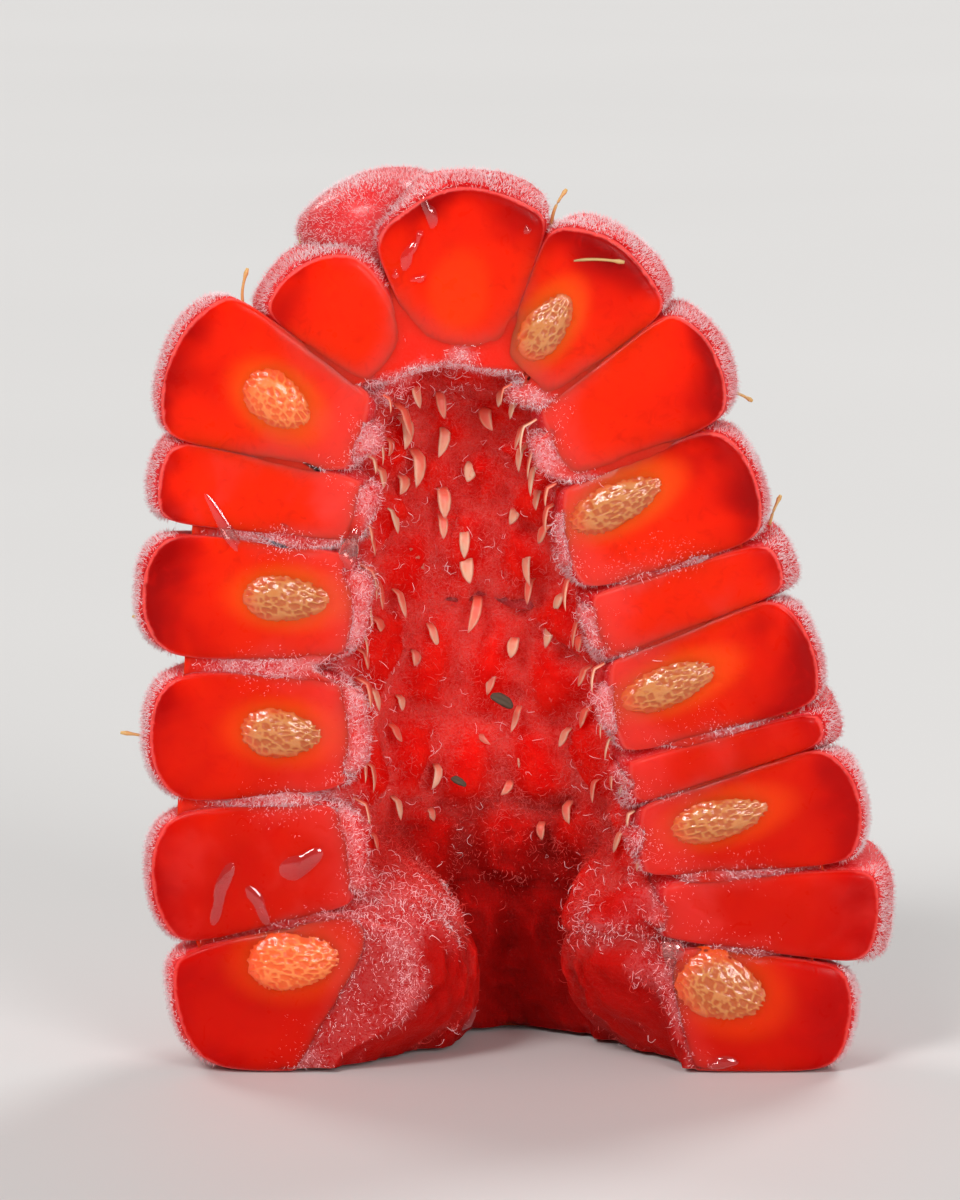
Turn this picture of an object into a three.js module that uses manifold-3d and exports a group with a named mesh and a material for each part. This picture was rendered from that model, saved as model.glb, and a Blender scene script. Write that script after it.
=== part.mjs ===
// Half a raspberry, cut lengthwise and standing on its open rim, tip up.
//
// Units are millimetres. The cut face looks along -Y, +X is to its right and +Z is up. The origin is at the
// middle of the footprint, on the surface that the rim rests on.
//
// The flesh is one solid: drupelets packed round a hollow, fused over a thin wall. Each drupelet is a
// rounded body trimmed by a wall to each of its neighbours. The stones lie in open pockets of the cut
// drupelets.

import * as THREE from 'three';
import { mergeVertices } from 'three/addons/utils/BufferGeometryUtils.js';
import Module from 'manifold-3d';

const wasm = await Module();
wasm.setup();

// ---------------------------------------------------------------- driving dimensions

// Where the cut plane and the fruit's axis stand. Inside the fruit's own frame the cut plane is y = 0. Near
// the tip no drupelet's middle counts as closer to the axis than AXIS_CLEAR.
const CUT_Y = -4.6;
const FRUIT_X = 0.1;
const AXIS_X = 0.2;
const AXIS_LEAN = -0.1;
const AXIS_CLEAR = 0.5;

// The outside, from the rim up: height, radius about the axis, and upward tilt of the drupelets in degrees.
const OUTSIDE = [
  [0.5, 7.4, -16],
  [4.4, 8.7, -6],
  [8.5, 8.1, 8],
  [13.5, 7.3, 14],
  [16.6, 6.7, 24],
  [18.9, 5.2, 45],
  [20.8, 2.9, 68],
];

// The hollow that the core left: height and radius about the axis, from below the rim to its tip. It is a
// little deeper square to the cut than it is wide.
const HOLLOW = [
  [-1.0, 4.2],
  [2.5, 3.6],
  [4.4, 3.35],
  [6.5, 3.1],
  [9.0, 2.85],
  [11.5, 2.5],
  [13.5, 2.1],
  [15.6, 1.8],
  [16.7, 1.15],
];
const HOLLOW_TIP = 17.2;
const HOLLOW_DEPTH = 1.15;

// Drupelets that the cut opened: x, depth behind the cut, z, half length, half height, half width, tilt.
const CUT_DRUPELETS = {
  crown: [-1.0, 1.1, 19.2, 2.45, 1.95, 1.9, 92],
  left_0: [-3.8, 1.4, 17.85, 2.3, 1.5, 1.9, 142],
  left_1: [-5.95, 1.2, 16.45, 2.45, 1.8, 2.1, 160],
  left_2: [-6.05, 1.5, 14.05, 2.6, 1.5, 2.1, 172],
  left_3: [-6.15, 1.2, 11.55, 2.85, 1.7, 2.1, 178],
  left_4: [-6.1, 1.2, 8.2, 2.7, 1.75, 2.1, 180],
  left_5: [-6.0, 1.1, 4.9, 2.75, 1.85, 2.1, 190],
  left_6: [-5.55, 1.2, 2.1, 2.7, 2.05, 2.1, 196],
  right_1: [1.35, 1.1, 18.15, 2.45, 1.75, 1.9, 48],
  right_2: [2.7, 1.2, 16.35, 2.6, 1.65, 2.0, 25],
  right_3: [3.45, 1.2, 13.6, 2.6, 1.75, 2.1, 20],
  right_4: [4.15, 1.6, 11.6, 2.7, 1.5, 2.1, 18],
  right_5: [4.8, 1.2, 9.55, 2.65, 1.75, 2.1, 20],
  right_6: [5.1, 1.6, 7.85, 2.8, 1.5, 2.1, 16],
  right_7: [5.8, 1.2, 6.1, 2.75, 1.65, 2.1, 14],
  right_8: [6.4, 1.6, 4.0, 2.8, 1.8, 2.1, -3],
  right_9: [5.75, 1.2, 1.5, 2.5, 1.8, 2.1, -14],
};

// Whole drupelets with a place of their own: the ball beside the crown, and the tongues of the rim.
const WHOLE_DRUPELETS = {
  crown_left: [-2.8, 2.75, 19.6, 1.85, 1.65, 1.7, 116],
  tongue_left: [-3.4, 2.8, 2.45, 2.8, 1.95, 2.1, 234],
  tongue_back_left: [-1.7, 6.5, 2.3, 1.9, 2.6, 2.4, 190],
  tongue_back_right: [1.9, 6.4, 2.3, 1.9, 2.6, 2.4, -10],
  tongue_right: [3.6, 3.4, 2.9, 2.9, 1.95, 2.2, -36],
};

// Whole drupelets of the back, spread evenly between the others by pushing each other apart.
const BACK_COUNT = 26;
const BACK_SIZE = [2.75, 1.95, 2.1];
const BACK_PITCH = 4.3;
const BACK_LOW = 4.3;
const BACK_HIGH = 20.6;
const BACK_DEPTH = 4.4;
const BACK_DEPTH_SHARE = 0.8;
const BACK_STEPS = 160;
const BACK_PUSH = 0.22;
const BACK_SEED = 7;
const SPIRAL_STEP = 0.618034;
const SPIRAL_FROM = 0.2;
const SPIRAL_SPAN = 0.6;
const SPIRAL_JITTER = 0.05;
const SPIRAL_CROWDING = 1.1;

// How a drupelet is rounded: power of its curve, swelling to its outer end, blend where walls meet it, and
// how far two neighbours run into each other so that they fuse.
const ROUNDNESS = 2.35;
const SWELL = 0.16;
const BLEND = 20;
const FUSE = 0.65;
const NEIGHBOUR_REACH = 7.5;
const IN_LINE = 0.6;
const DRUPELET_SIDES = 13;
const DRUPELET_RINGS = 9;

// The wall behind the drupelets: how deep below their tips it lies, where it starts and where it ends.
const WALL_DEPTH = 2.7;
const WALL_HEIGHTS = [3.9, 6, 9, 12, 15, 17.3];
const WALL_TIP = 18.9;
const WALL_SET_BACK = 0.35;
const ROUND_SIDES = 40;

// Grooves on the cut face where two drupelets meet.
const GROOVE = 0.34;
const GROOVE_LENGTH = 4.6;
const GROOVE_PAIRS = [
  ['crown', 'left_0'], ['left_0', 'left_1'], ['left_1', 'left_2'], ['left_2', 'left_3'],
  ['left_3', 'left_4'], ['left_4', 'left_5'], ['left_5', 'left_6'], ['crown', 'right_1'],
  ['right_1', 'right_2'], ['right_2', 'right_3'], ['right_3', 'right_4'], ['right_4', 'right_5'],
  ['right_5', 'right_6'], ['right_6', 'right_7'], ['right_7', 'right_8'], ['right_8', 'right_9'],
];

// Stones: x, z, length, height and tilt in degrees of each. All lie with their middle just behind the cut.
const STONES = {
  left_1: [-5.5, 16.25, 2.2, 1.45, -35],
  left_3: [-5.3, 11.55, 2.5, 1.35, -3],
  left_4: [-5.4, 8.3, 2.45, 1.4, -4],
  left_6: [-5.15, 2.75, 2.7, 1.65, 6],
  right_1: [0.85, 18.1, 2.15, 1.2, 56],
  right_3: [2.55, 13.85, 2.8, 1.25, 27],
  right_5: [3.85, 9.5, 2.9, 1.2, 22],
  right_7: [5.05, 6.25, 2.9, 1.2, 15],
  right_9: [5.15, 2.05, 2.65, 1.85, -20],
};
const STONE_THICKNESS = 1.1;
const STONE_SINK = 0.22;
const STONE_CLEARANCE = 0.07;
const STONE_SIDES = 18;
const STONE_RINGS = 10;
const POCKET_SIDES = 12;
const POCKET_RINGS = 7;
const STONE_PIT = 0.06;
const STONE_PIT_EVERY = 3;
const STONE_TAPER = 0.22;

// Torn fibre ends on the wall of the hollow, in rows round it, tips down.
const FIBRE_ROWS = 12;
const FIBRES_IN_ROW = 6;
const FIBRE_LOW = 4.9;
const FIBRE_HIGH = 16.2;
const FIBRE_LENGTH = 0.95;
const FIBRE_RADIUS = 0.17;
const FIBRE_LEAN = 0.42;
const FIBRE_LENGTH_SPREAD = 0.25;
const FIBRE_ROOT = 0.25;
const FIBRE_EDGE = 0.5;
const FIBRE_TURN = [10, 170];
const FIBRE_SEED = 11;

// Room for a fingertip in the hollow, where no fibre end stands.
const ROOM_LOW = [-2.65, 0, 4.25];
const ROOM_HIGH = [1.45, 2.15, 8.4];

// Dried styles on the skin: drupelet, then root and tip as x and z, and how far behind the cut they stand.
const STYLE_RADIUS = 0.09;
const STYLE_ROOT = 0.16;
const STYLES = [
  ['left_1', -6.1, 18.0, -6.3, 19.3, 1.3],
  ['left_0', -4.85, 19.3, -5.0, 20.15, 1.6],
  ['crown_left', -3.2, 20.6, -2.6, 20.2, 1.2],
  ['right_1', 0.85, 20.5, 1.3, 21.2, 1.2],
  ['right_2', 5.1, 16.3, 5.75, 16.1, 1.4],
  ['right_4', 6.55, 12.8, 6.45, 13.8, 1.6],
  ['right_6', 6.6, 7.6, 6.7, 8.9, 0.2],
  ['right_7', 8.2, 6.6, 8.45, 6.1, 0.9],
  ['right_8', 7.5, 3.3, 8.7, 4.3, 0.3],
  ['left_4', -8.0, 7.1, -9.4, 8.1, 1.2],
  ['left_3', -8.2, 10.1, -9.1, 10.9, 1.4],
  ['left_2', -7.6, 13.5, -8.3, 14.4, 0.2],
];
const BACK_STYLE_EVERY = 2;
const BACK_STYLE_LENGTH = 1.2;
const BACK_STYLE_LEANS = [0.5, 0.05, -0.4];

// Dried anther scraps caught on the wall of the hollow: turn round the axis, height, length.
const ANTHERS = [
  [80, 8.6, 0.62],
  [108, 6.6, 0.42],
];
const ANTHER_OFF_WALL = 0.42;
const ANTHER_SLIM = 0.22;
const ANTHER_TILT = 28;

// Beyond the fruit on every side.
const FAR = 40;

const RED_FLESH = 0xe0180c;
const STONE_CREAM = 0xd2a05a;
const ANTHER_BROWN = 0x2a1a10;

// ---------------------------------------------------------------- helpers

const vec = (x, y, z) => new THREE.Vector3(x, y, z);
const rad = THREE.MathUtils.degToRad;

/** The fruit's axis leans: its x at a height. */
const axisX = (z) => AXIS_X + AXIS_LEAN * z;

/** Value of one column of a table of heights, straight between its rows. */
function along(table, z, column) {
  if (z <= table[0][0]) return table[0][column];
  for (let i = 1; i < table.length; i += 1) {
    const [below, above] = [table[i - 1], table[i]];
    if (z <= above[0]) {
      const share = (z - below[0]) / (above[0] - below[0]);
      return THREE.MathUtils.lerp(below[column], above[column], share);
    }
  }
  return table[table.length - 1][column];
}

/** Repeatable random numbers from 0 to 1. */
function randomFrom(seed) {
  let state = seed;
  return () => {
    state = (state * 16807) % 2147483647;
    return state / 2147483647;
  };
}

/** A closed geometry as a solid that can be joined and cut. */
function toSolid(geometry) {
  const bare = geometry.clone();
  bare.deleteAttribute('normal');
  bare.deleteAttribute('uv');
  const merged = mergeVertices(bare, 1e-4);
  return new wasm.Manifold(new wasm.Mesh({
    numProp: 3,
    vertProperties: new Float32Array(merged.attributes.position.array),
    triVerts: new Uint32Array(merged.index.array),
  }));
}

/** A solid as a geometry for a mesh. */
function toGeometry(solid) {
  const mesh = solid.getMesh();
  const geometry = new THREE.BufferGeometry();
  geometry.setAttribute('position', new THREE.BufferAttribute(new Float32Array(mesh.vertProperties), 3));
  geometry.setIndex(new THREE.BufferAttribute(new Uint32Array(mesh.triVerts), 1));
  geometry.computeVertexNormals();
  return geometry;
}

/** The biggest body of a solid, without scraps and without sealed hollows. */
function wholeBody(solid) {
  const bodies = solid.decompose();
  return bodies.reduce((best, body) => (body.volume() > best.volume() ? body : best));
}

/** A box between two corners, as a solid. */
function block(low, high) {
  const size = high.clone().sub(low);
  const geometry = new THREE.BoxGeometry(size.x, size.y, size.z);
  geometry.translate((low.x + high.x) / 2, (low.y + high.y) / 2, (low.z + high.z) / 2);
  return toSolid(geometry);
}

/** All that lies in front of a plane beside the cut. */
const inFrontOf = (depth) => block(vec(-FAR, -FAR, -FAR), vec(FAR, depth, FAR));

/**
 * A round body about the leaning axis from rows of height and radius, closed at its ends on the axis and
 * stretched by a share square to the cut.
 */
function roundBody(rows, tip, depth = 1) {
  const first = rows[0];
  const outline = [new THREE.Vector2(0, first[0])];
  rows.forEach(([height, radius]) => outline.push(new THREE.Vector2(radius, height)));
  outline.push(new THREE.Vector2(0, tip));
  const geometry = new THREE.LatheGeometry(outline, ROUND_SIDES);
  geometry.rotateX(Math.PI / 2);
  const lean = new THREE.Matrix4().set(1, 0, AXIS_LEAN, AXIS_X, 0, depth, 0, 0, 0, 0, 1, 0, 0, 0, 0, 1);
  geometry.applyMatrix4(lean);
  return toSolid(geometry);
}

// ---------------------------------------------------------------- drupelets

/** A drupelet's three directions: along it to its outer end, across it upwards, and round the fruit. */
function directions(tilt, turn) {
  const out = vec(Math.cos(turn) * Math.cos(tilt), Math.sin(turn) * Math.cos(tilt), Math.sin(tilt));
  const round = vec(-Math.sin(turn), Math.cos(turn), 0);
  const up = out.clone().cross(round);
  return { out, up, round };
}

/** A drupelet from its row of values. A tilt past 90 degrees points to the left. */
function drupelet(name, [x, y, z, long, high, wide, tilt]) {
  const leftward = Math.cos(rad(tilt)) < 0;
  const lift = leftward ? rad(180 - tilt) : rad(tilt);
  const centre = vec(x, y, z);
  const side = leftward ? Math.min(x - axisX(z), -AXIS_CLEAR) : Math.max(x - axisX(z), AXIS_CLEAR);
  const turn = Math.atan2(y, side);
  return { name, centre, size: [long, high, wide], ...directions(lift, turn) };
}

/** The outer end of a drupelet. */
const tipOf = (one) => one.centre.clone().addScaledVector(one.out, one.size[0]);

/** Puts a point on the fruit's outside, at its own height and turn. */
function ontoOutside(point) {
  point.z = THREE.MathUtils.clamp(point.z, BACK_LOW, BACK_HIGH);
  const flat = vec(point.x - axisX(point.z), Math.max(point.y, AXIS_CLEAR), 0);
  flat.setLength(along(OUTSIDE, point.z, 1));
  const least = Math.min(BACK_DEPTH, flat.length() * BACK_DEPTH_SHARE);
  if (flat.y < least) {
    const across = Math.sqrt(flat.lengthSq() - least * least);
    flat.set(Math.sign(flat.x) * across, least, 0);
  }
  point.x = axisX(point.z) + flat.x;
  point.y = flat.y;
}

/** Drupelets of the back: start on a spiral, then push each other and the placed ones apart. */
function backDrupelets(placed) {
  const fixed = placed.map(tipOf);
  const random = randomFrom(BACK_SEED);
  const tips = [];
  for (let i = 0; i < BACK_COUNT; i += 1) {
    const height = BACK_LOW + (BACK_HIGH - BACK_LOW) * ((i + 0.5) / BACK_COUNT) ** SPIRAL_CROWDING;
    const step = (i * SPIRAL_STEP + SPIRAL_JITTER * random()) % 1;
    const turn = Math.PI * (SPIRAL_FROM + SPIRAL_SPAN * step);
    const tip = vec(axisX(height) + Math.cos(turn), Math.sin(turn), height);
    ontoOutside(tip);
    tips.push(tip);
  }
  for (let step = 0; step < BACK_STEPS; step += 1) {
    const moves = tips.map((tip) => {
      const move = vec(0, 0, 0);
      tips.concat(fixed).forEach((other) => {
        const apart = tip.clone().sub(other);
        const gap = apart.length();
        if (gap > 1e-6 && gap < BACK_PITCH) {
          move.addScaledVector(apart, (BACK_PUSH * (BACK_PITCH - gap)) / gap);
        }
      });
      return move;
    });
    tips.forEach((tip, i) => {
      tip.add(moves[i]);
      ontoOutside(tip);
    });
  }
  return tips.map((tip, i) => {
    const turn = Math.atan2(tip.y, tip.x - axisX(tip.z));
    const way = directions(rad(along(OUTSIDE, tip.z, 2)), turn);
    const centre = tip.clone().addScaledVector(way.out, -BACK_SIZE[0]);
    return { name: `back_${i}`, centre, size: BACK_SIZE, ...way };
  });
}

/** How far a drupelet's rounded body reaches in a direction. */
function reachOf(one, direction) {
  const [long, high, wide] = one.size;
  const { out, up, round } = one;
  return Math.hypot(out.dot(direction) * long, up.dot(direction) * high, round.dot(direction) * wide);
}

/**
 * The wall between two drupelets, as its direction and its distance from the first one's middle. It runs
 * along both of them, or square to the line between them where one lies behind the other.
 */
function wallTo(one, other) {
  const apart = other.centre.clone().sub(one.centre);
  const mean = one.out.clone().add(other.out).normalize();
  const normal = apart.clone().addScaledVector(mean, -apart.dot(mean));
  if (normal.length() < IN_LINE) normal.copy(apart);
  normal.normalize();
  const share = reachOf(one, normal) / (reachOf(one, normal) + reachOf(other, normal));
  return { normal, distance: Math.abs(apart.dot(normal)) * share };
}

/** A drupelet's body: in each direction the soft least of its rounded shape and its walls. */
function drupeletSolid(one, all) {
  const [long, high, wide] = one.size;
  const isNear = (other) => other !== one && other.centre.distanceTo(one.centre) < NEIGHBOUR_REACH;
  const near = all.filter(isNear);
  const walls = near.map((other) => wallTo(one, other));
  const geometry = new THREE.SphereGeometry(1, DRUPELET_SIDES, DRUPELET_RINGS);
  const { position } = geometry.attributes;
  const way = vec(0, 0, 0);
  for (let i = 0; i < position.count; i += 1) {
    const [across, forth, aside] = [position.getX(i), position.getY(i), position.getZ(i)];
    const swell = 1 + SWELL * forth;
    const bulk = Math.abs(forth / long) ** ROUNDNESS
      + Math.abs(across / (high * swell)) ** ROUNDNESS
      + Math.abs(aside / (wide * swell)) ** ROUNDNESS;
    let sum = (bulk ** (-1 / ROUNDNESS)) ** -BLEND;
    way.set(0, 0, 0).addScaledVector(one.up, across).addScaledVector(one.out, forth);
    way.addScaledVector(one.round, aside);
    walls.forEach(({ normal, distance }) => {
      const facing = way.dot(normal);
      if (facing > 1e-6) sum += ((distance + FUSE / 2) / facing) ** -BLEND;
    });
    const radius = sum ** (-1 / BLEND);
    position.setXYZ(
      i,
      one.centre.x + way.x * radius,
      one.centre.y + way.y * radius,
      one.centre.z + way.z * radius,
    );
  }
  return toSolid(geometry);
}

// ---------------------------------------------------------------- small parts of the flesh

/** A slim three-sided spike from a root point along a direction, its root sunk in. */
function spike(root, direction, length, radius, sunk) {
  const geometry = new THREE.ConeGeometry(radius, length + sunk, 3, 1);
  geometry.translate(0, (length + sunk) / 2 - sunk, 0);
  const turn = new THREE.Quaternion().setFromUnitVectors(vec(0, 1, 0), direction.clone().normalize());
  geometry.applyQuaternion(turn);
  geometry.translate(root.x, root.y, root.z);
  return toSolid(geometry);
}

/** Whether a point lies in the room for a fingertip. */
function inRoom(point) {
  return point.toArray().every((value, i) => value > ROOM_LOW[i] && value < ROOM_HIGH[i]);
}

/** Torn fibre ends on the wall of the hollow, pointing down and a little inwards. */
function fibreEnds() {
  const random = randomFrom(FIBRE_SEED);
  const spikes = [];
  for (let row = 0; row < FIBRE_ROWS; row += 1) {
    for (let i = 0; i < FIBRES_IN_ROW; i += 1) {
      const share = (i + (row % 2) / 2 + random() / 2) / FIBRES_IN_ROW;
      const turn = rad(THREE.MathUtils.lerp(...FIBRE_TURN, share));
      const rise = Math.min((row + random() / 2) / (FIBRE_ROWS - 1), 1);
      const height = THREE.MathUtils.lerp(FIBRE_LOW, FIBRE_HIGH, rise);
      const radius = along(HOLLOW, height, 1);
      const inward = vec(-Math.cos(turn), -Math.sin(turn), 0);
      const root = vec(axisX(height) - inward.x * radius, -inward.y * radius * HOLLOW_DEPTH, height);
      const way = vec(0, 0, -1).addScaledVector(inward, FIBRE_LEAN).normalize();
      const length = FIBRE_LENGTH * (1 + FIBRE_LENGTH_SPREAD * (2 * random() - 1));
      const tip = root.clone().addScaledVector(way, length);
      const grows = root.y > FIBRE_EDGE && !inRoom(tip);
      if (grows) spikes.push(spike(root, way, length, FIBRE_RADIUS, FIBRE_ROOT));
    }
  }
  return spikes;
}

/** Dried styles that stand on drupelets near their outer ends. */
function styleSpikes(named, back) {
  const spikes = STYLES.map(([name, rootX, rootZ, tipX, tipZ, depth]) => {
    const root = vec(rootX, depth, rootZ).lerp(named[name].centre, STYLE_ROOT);
    const way = vec(tipX, depth, tipZ).sub(root);
    return spike(root, way, way.length(), STYLE_RADIUS, 0);
  });
  back.forEach((one, i) => {
    if (i % BACK_STYLE_EVERY === 0) {
      const way = one.out.clone().addScaledVector(one.up, BACK_STYLE_LEANS[i % BACK_STYLE_LEANS.length]);
      const root = tipOf(one).lerp(one.centre, STYLE_ROOT);
      spikes.push(spike(root, way, BACK_STYLE_LENGTH, STYLE_RADIUS, 0));
    }
  });
  return spikes;
}

/** A square bar along the line where the wall between two cut drupelets meets the cut. */
function groove(one, other) {
  const { normal, distance } = wallTo(one, other);
  const across = vec(normal.x, 0, normal.z).normalize();
  const line = vec(-across.z, 0, across.x);
  const point = one.centre.clone().addScaledVector(normal, distance);
  const toCut = point.y / Math.max(1 - Math.abs(normal.y), 0.5);
  const middle = vec(point.x, 0, point.z).addScaledVector(across, normal.y * toCut);
  const geometry = new THREE.BoxGeometry(GROOVE_LENGTH, GROOVE / Math.SQRT2, GROOVE / Math.SQRT2);
  geometry.rotateX(Math.PI / 4);
  const turn = new THREE.Quaternion().setFromUnitVectors(vec(1, 0, 0), line);
  geometry.applyQuaternion(turn);
  geometry.translate(middle.x, 0, middle.z);
  return toSolid(geometry);
}

// ---------------------------------------------------------------- stones

/** A stone's shape: a flattened, tapered egg. Its net stands round pits at regular points of the grid. */
function stoneGeometry([x, z, length, height, tilt], sides, rings, grow, pit) {
  const geometry = new THREE.SphereGeometry(1, sides, rings);
  const { position } = geometry.attributes;
  const columns = sides + 1;
  for (let i = 0; i < position.count; i += 1) {
    const ring = Math.floor(i / columns);
    const column = i % columns % sides;
    const inside = ring > 0 && ring < rings;
    const sink = inside && (ring + column) % STONE_PIT_EVERY === 0 ? pit : 0;
    const [side, end, deep] = [position.getX(i), position.getY(i), position.getZ(i)];
    const narrow = 1 - STONE_TAPER * end;
    position.setXYZ(
      i,
      end * (length / 2 + grow - sink),
      deep * (STONE_THICKNESS / 2 + grow - sink) * narrow,
      side * (height / 2 + grow - sink) * narrow,
    );
  }
  geometry.rotateY(-rad(tilt));
  geometry.translate(x, STONE_SINK, z);
  return geometry;
}

/** A dried anther scrap, a small bent grain just off the wall of the hollow. */
function antherGeometry([turn, height, length]) {
  const radius = length * ANTHER_SLIM;
  const geometry = new THREE.CapsuleGeometry(radius, length - 2 * radius, 2, 7);
  geometry.rotateZ(rad(90 - ANTHER_TILT));
  const out = along(HOLLOW, height, 1) - ANTHER_OFF_WALL;
  const behind = out * Math.sin(rad(turn)) * HOLLOW_DEPTH;
  geometry.translate(axisX(height) + out * Math.cos(rad(turn)), behind, height);
  return geometry;
}

// ---------------------------------------------------------------- the fruit

const named = {};
Object.entries({ ...CUT_DRUPELETS, ...WHOLE_DRUPELETS }).forEach(([name, row]) => {
  named[name] = drupelet(name, row);
});
const placed = Object.values(named);
const back = backDrupelets(placed);
const all = [...placed, ...back];

const wallRows = WALL_HEIGHTS.map((height) => [height, along(OUTSIDE, height, 1) - WALL_DEPTH]);
const wall = roundBody(wallRows, WALL_TIP).subtract(inFrontOf(WALL_SET_BACK));

// The hollow trims the inner ends of all drupelets but those of the rim, which hang free below the wall.
const trimmed = all.filter((one) => one.centre.z > WALL_HEIGHTS[0]);
const rim = all.filter((one) => one.centre.z <= WALL_HEIGHTS[0]);

let flesh = wall;
trimmed.forEach((one) => {
  flesh = flesh.add(drupeletSolid(one, all));
});
flesh = flesh.subtract(roundBody(HOLLOW, HOLLOW_TIP, HOLLOW_DEPTH));
rim.forEach((one) => {
  flesh = flesh.add(drupeletSolid(one, all));
});
flesh = flesh.subtract(inFrontOf(0)).subtract(block(vec(-FAR, -FAR, -FAR), vec(FAR, FAR, 0)));
GROOVE_PAIRS.forEach(([one, other]) => {
  flesh = flesh.subtract(groove(named[one], named[other]));
});
[...fibreEnds(), ...styleSpikes(named, back)].forEach((small) => {
  flesh = flesh.add(small);
});
Object.values(STONES).forEach((row) => {
  flesh = flesh.subtract(toSolid(stoneGeometry(row, POCKET_SIDES, POCKET_RINGS, STONE_CLEARANCE, 0)));
});
flesh = wholeBody(flesh);

// ---------------------------------------------------------------- the scene graph

const group = new THREE.Group();
group.position.set(FRUIT_X, CUT_Y, 0);

/** Adds a named mesh with its own finish. */
function addMesh(name, geometry, color, roughness) {
  const material = new THREE.MeshStandardMaterial({ color, roughness, metalness: 0 });
  const mesh = new THREE.Mesh(geometry, material);
  mesh.name = name;
  group.add(mesh);
}

addMesh('flesh', toGeometry(flesh), RED_FLESH, 0.35);
Object.entries(STONES).forEach(([name, row]) => {
  addMesh(`seed_${name}`, stoneGeometry(row, STONE_SIDES, STONE_RINGS, 0, STONE_PIT), STONE_CREAM, 0.4);
});
ANTHERS.forEach((row, i) => {
  addMesh(`anther_${i + 1}`, antherGeometry(row), ANTHER_BROWN, 0.7);
});

export default group;
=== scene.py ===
"""Half a raspberry, cut lengthwise and standing on its open rim: the finished look around its solid frame.

Lengths in the classes are millimetres in the fruit's own frame, where the cut plane is y = 0, +X is to the
right of the cut face and +Z is up. They become metres in the shared frame when a mesh is made.
"""

import logging
import math
from dataclasses import dataclass, field
from enum import Enum
from functools import cache

import bpy
import numpy as np
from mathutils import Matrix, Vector

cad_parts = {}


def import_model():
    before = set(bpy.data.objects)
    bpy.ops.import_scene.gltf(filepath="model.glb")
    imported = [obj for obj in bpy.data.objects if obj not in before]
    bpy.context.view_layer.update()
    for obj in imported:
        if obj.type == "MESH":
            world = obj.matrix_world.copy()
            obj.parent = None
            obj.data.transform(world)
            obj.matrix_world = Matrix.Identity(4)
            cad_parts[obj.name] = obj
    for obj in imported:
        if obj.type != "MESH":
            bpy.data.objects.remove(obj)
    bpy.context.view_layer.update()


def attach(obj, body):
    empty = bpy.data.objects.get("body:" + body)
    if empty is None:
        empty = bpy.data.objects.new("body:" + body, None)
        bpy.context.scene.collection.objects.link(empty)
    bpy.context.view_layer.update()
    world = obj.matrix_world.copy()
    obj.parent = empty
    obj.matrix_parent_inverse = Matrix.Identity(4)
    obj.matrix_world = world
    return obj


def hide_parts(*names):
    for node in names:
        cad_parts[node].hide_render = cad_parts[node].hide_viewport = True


Array = np.ndarray
Material = bpy.types.Material
Piece = bpy.types.Object
Socket = bpy.types.NodeSocket
LOG = logging.getLogger("raspberry")

# ------------------------ the fruit's own frame

MM = 0.001
# TINY stands for zero below a fraction line, and FAR is the distance to a wall that a ray never meets.
TINY = 1e-6
FAR = 1e6
# The smallest gap between a drupelet and the hollow.
NEAR = 0.02
# Where the fruit's frame lies in the shared frame.
CUT_Y = -4.6
FRUIT_X = 0.1
# The axis of the hollow: its x at the floor, its lean per millimetre of height, and the space kept round it.
AXIS_X = 0.2
AXIS_LEAN = -0.1
AXIS_CLEAR = 0.5

# The outside: height, radius about the axis, and upward tilt of the drupelets in degrees.
OUTSIDE = np.array([
    [0.5, 7.4, -16], [4.4, 8.7, -6], [8.5, 8.1, 8], [13.5, 7.3, 14],
    [16.6, 6.7, 24], [18.9, 5.2, 45], [20.8, 2.9, 68],
])
# The hollow: height and radius about the axis.
HOLLOW = np.array([
    [-1.0, 4.2], [2.5, 3.6], [4.4, 3.35], [6.5, 3.1], [9.0, 2.85],
    [11.5, 2.5], [13.5, 2.1], [15.6, 1.8], [16.7, 1.15], [17.2, 0.0],
])

# Each of these tables holds millimetres and degrees.
# Drupelets that the cut opened: x, depth behind the cut, z, half length, half height, half width, tilt.
CUT_DRUPELETS = {
    "crown": (-1.0, 1.1, 19.2, 2.45, 1.95, 1.9, 92),
    "left_0": (-3.8, 1.4, 17.85, 2.3, 1.5, 1.9, 142),
    "left_1": (-5.95, 1.2, 16.45, 2.45, 1.8, 2.1, 160),
    "left_2": (-6.05, 1.5, 14.05, 2.6, 1.5, 2.1, 172),
    "left_3": (-6.15, 1.2, 11.55, 2.85, 1.7, 2.1, 178),
    "left_4": (-6.1, 1.2, 8.2, 2.7, 1.75, 2.1, 180),
    "left_5": (-6.0, 1.1, 4.9, 2.75, 1.85, 2.1, 190),
    "left_6": (-5.55, 1.2, 2.1, 2.7, 2.05, 2.1, 196),
    "right_1": (1.35, 1.1, 18.15, 2.45, 1.75, 1.9, 48),
    "right_2": (2.7, 1.2, 16.35, 2.6, 1.65, 2.0, 25),
    "right_3": (3.45, 1.2, 13.6, 2.6, 1.75, 2.1, 20),
    "right_4": (4.15, 1.6, 11.6, 2.7, 1.5, 2.1, 18),
    "right_5": (4.8, 1.2, 9.55, 2.65, 1.75, 2.1, 20),
    "right_6": (5.1, 1.6, 7.85, 2.8, 1.5, 2.1, 16),
    "right_7": (5.8, 1.2, 6.1, 2.75, 1.65, 2.1, 14),
    "right_8": (6.4, 1.6, 4.0, 2.8, 1.8, 2.1, -3),
    "right_9": (5.75, 1.2, 1.5, 2.5, 1.8, 2.1, -14),
}
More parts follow.
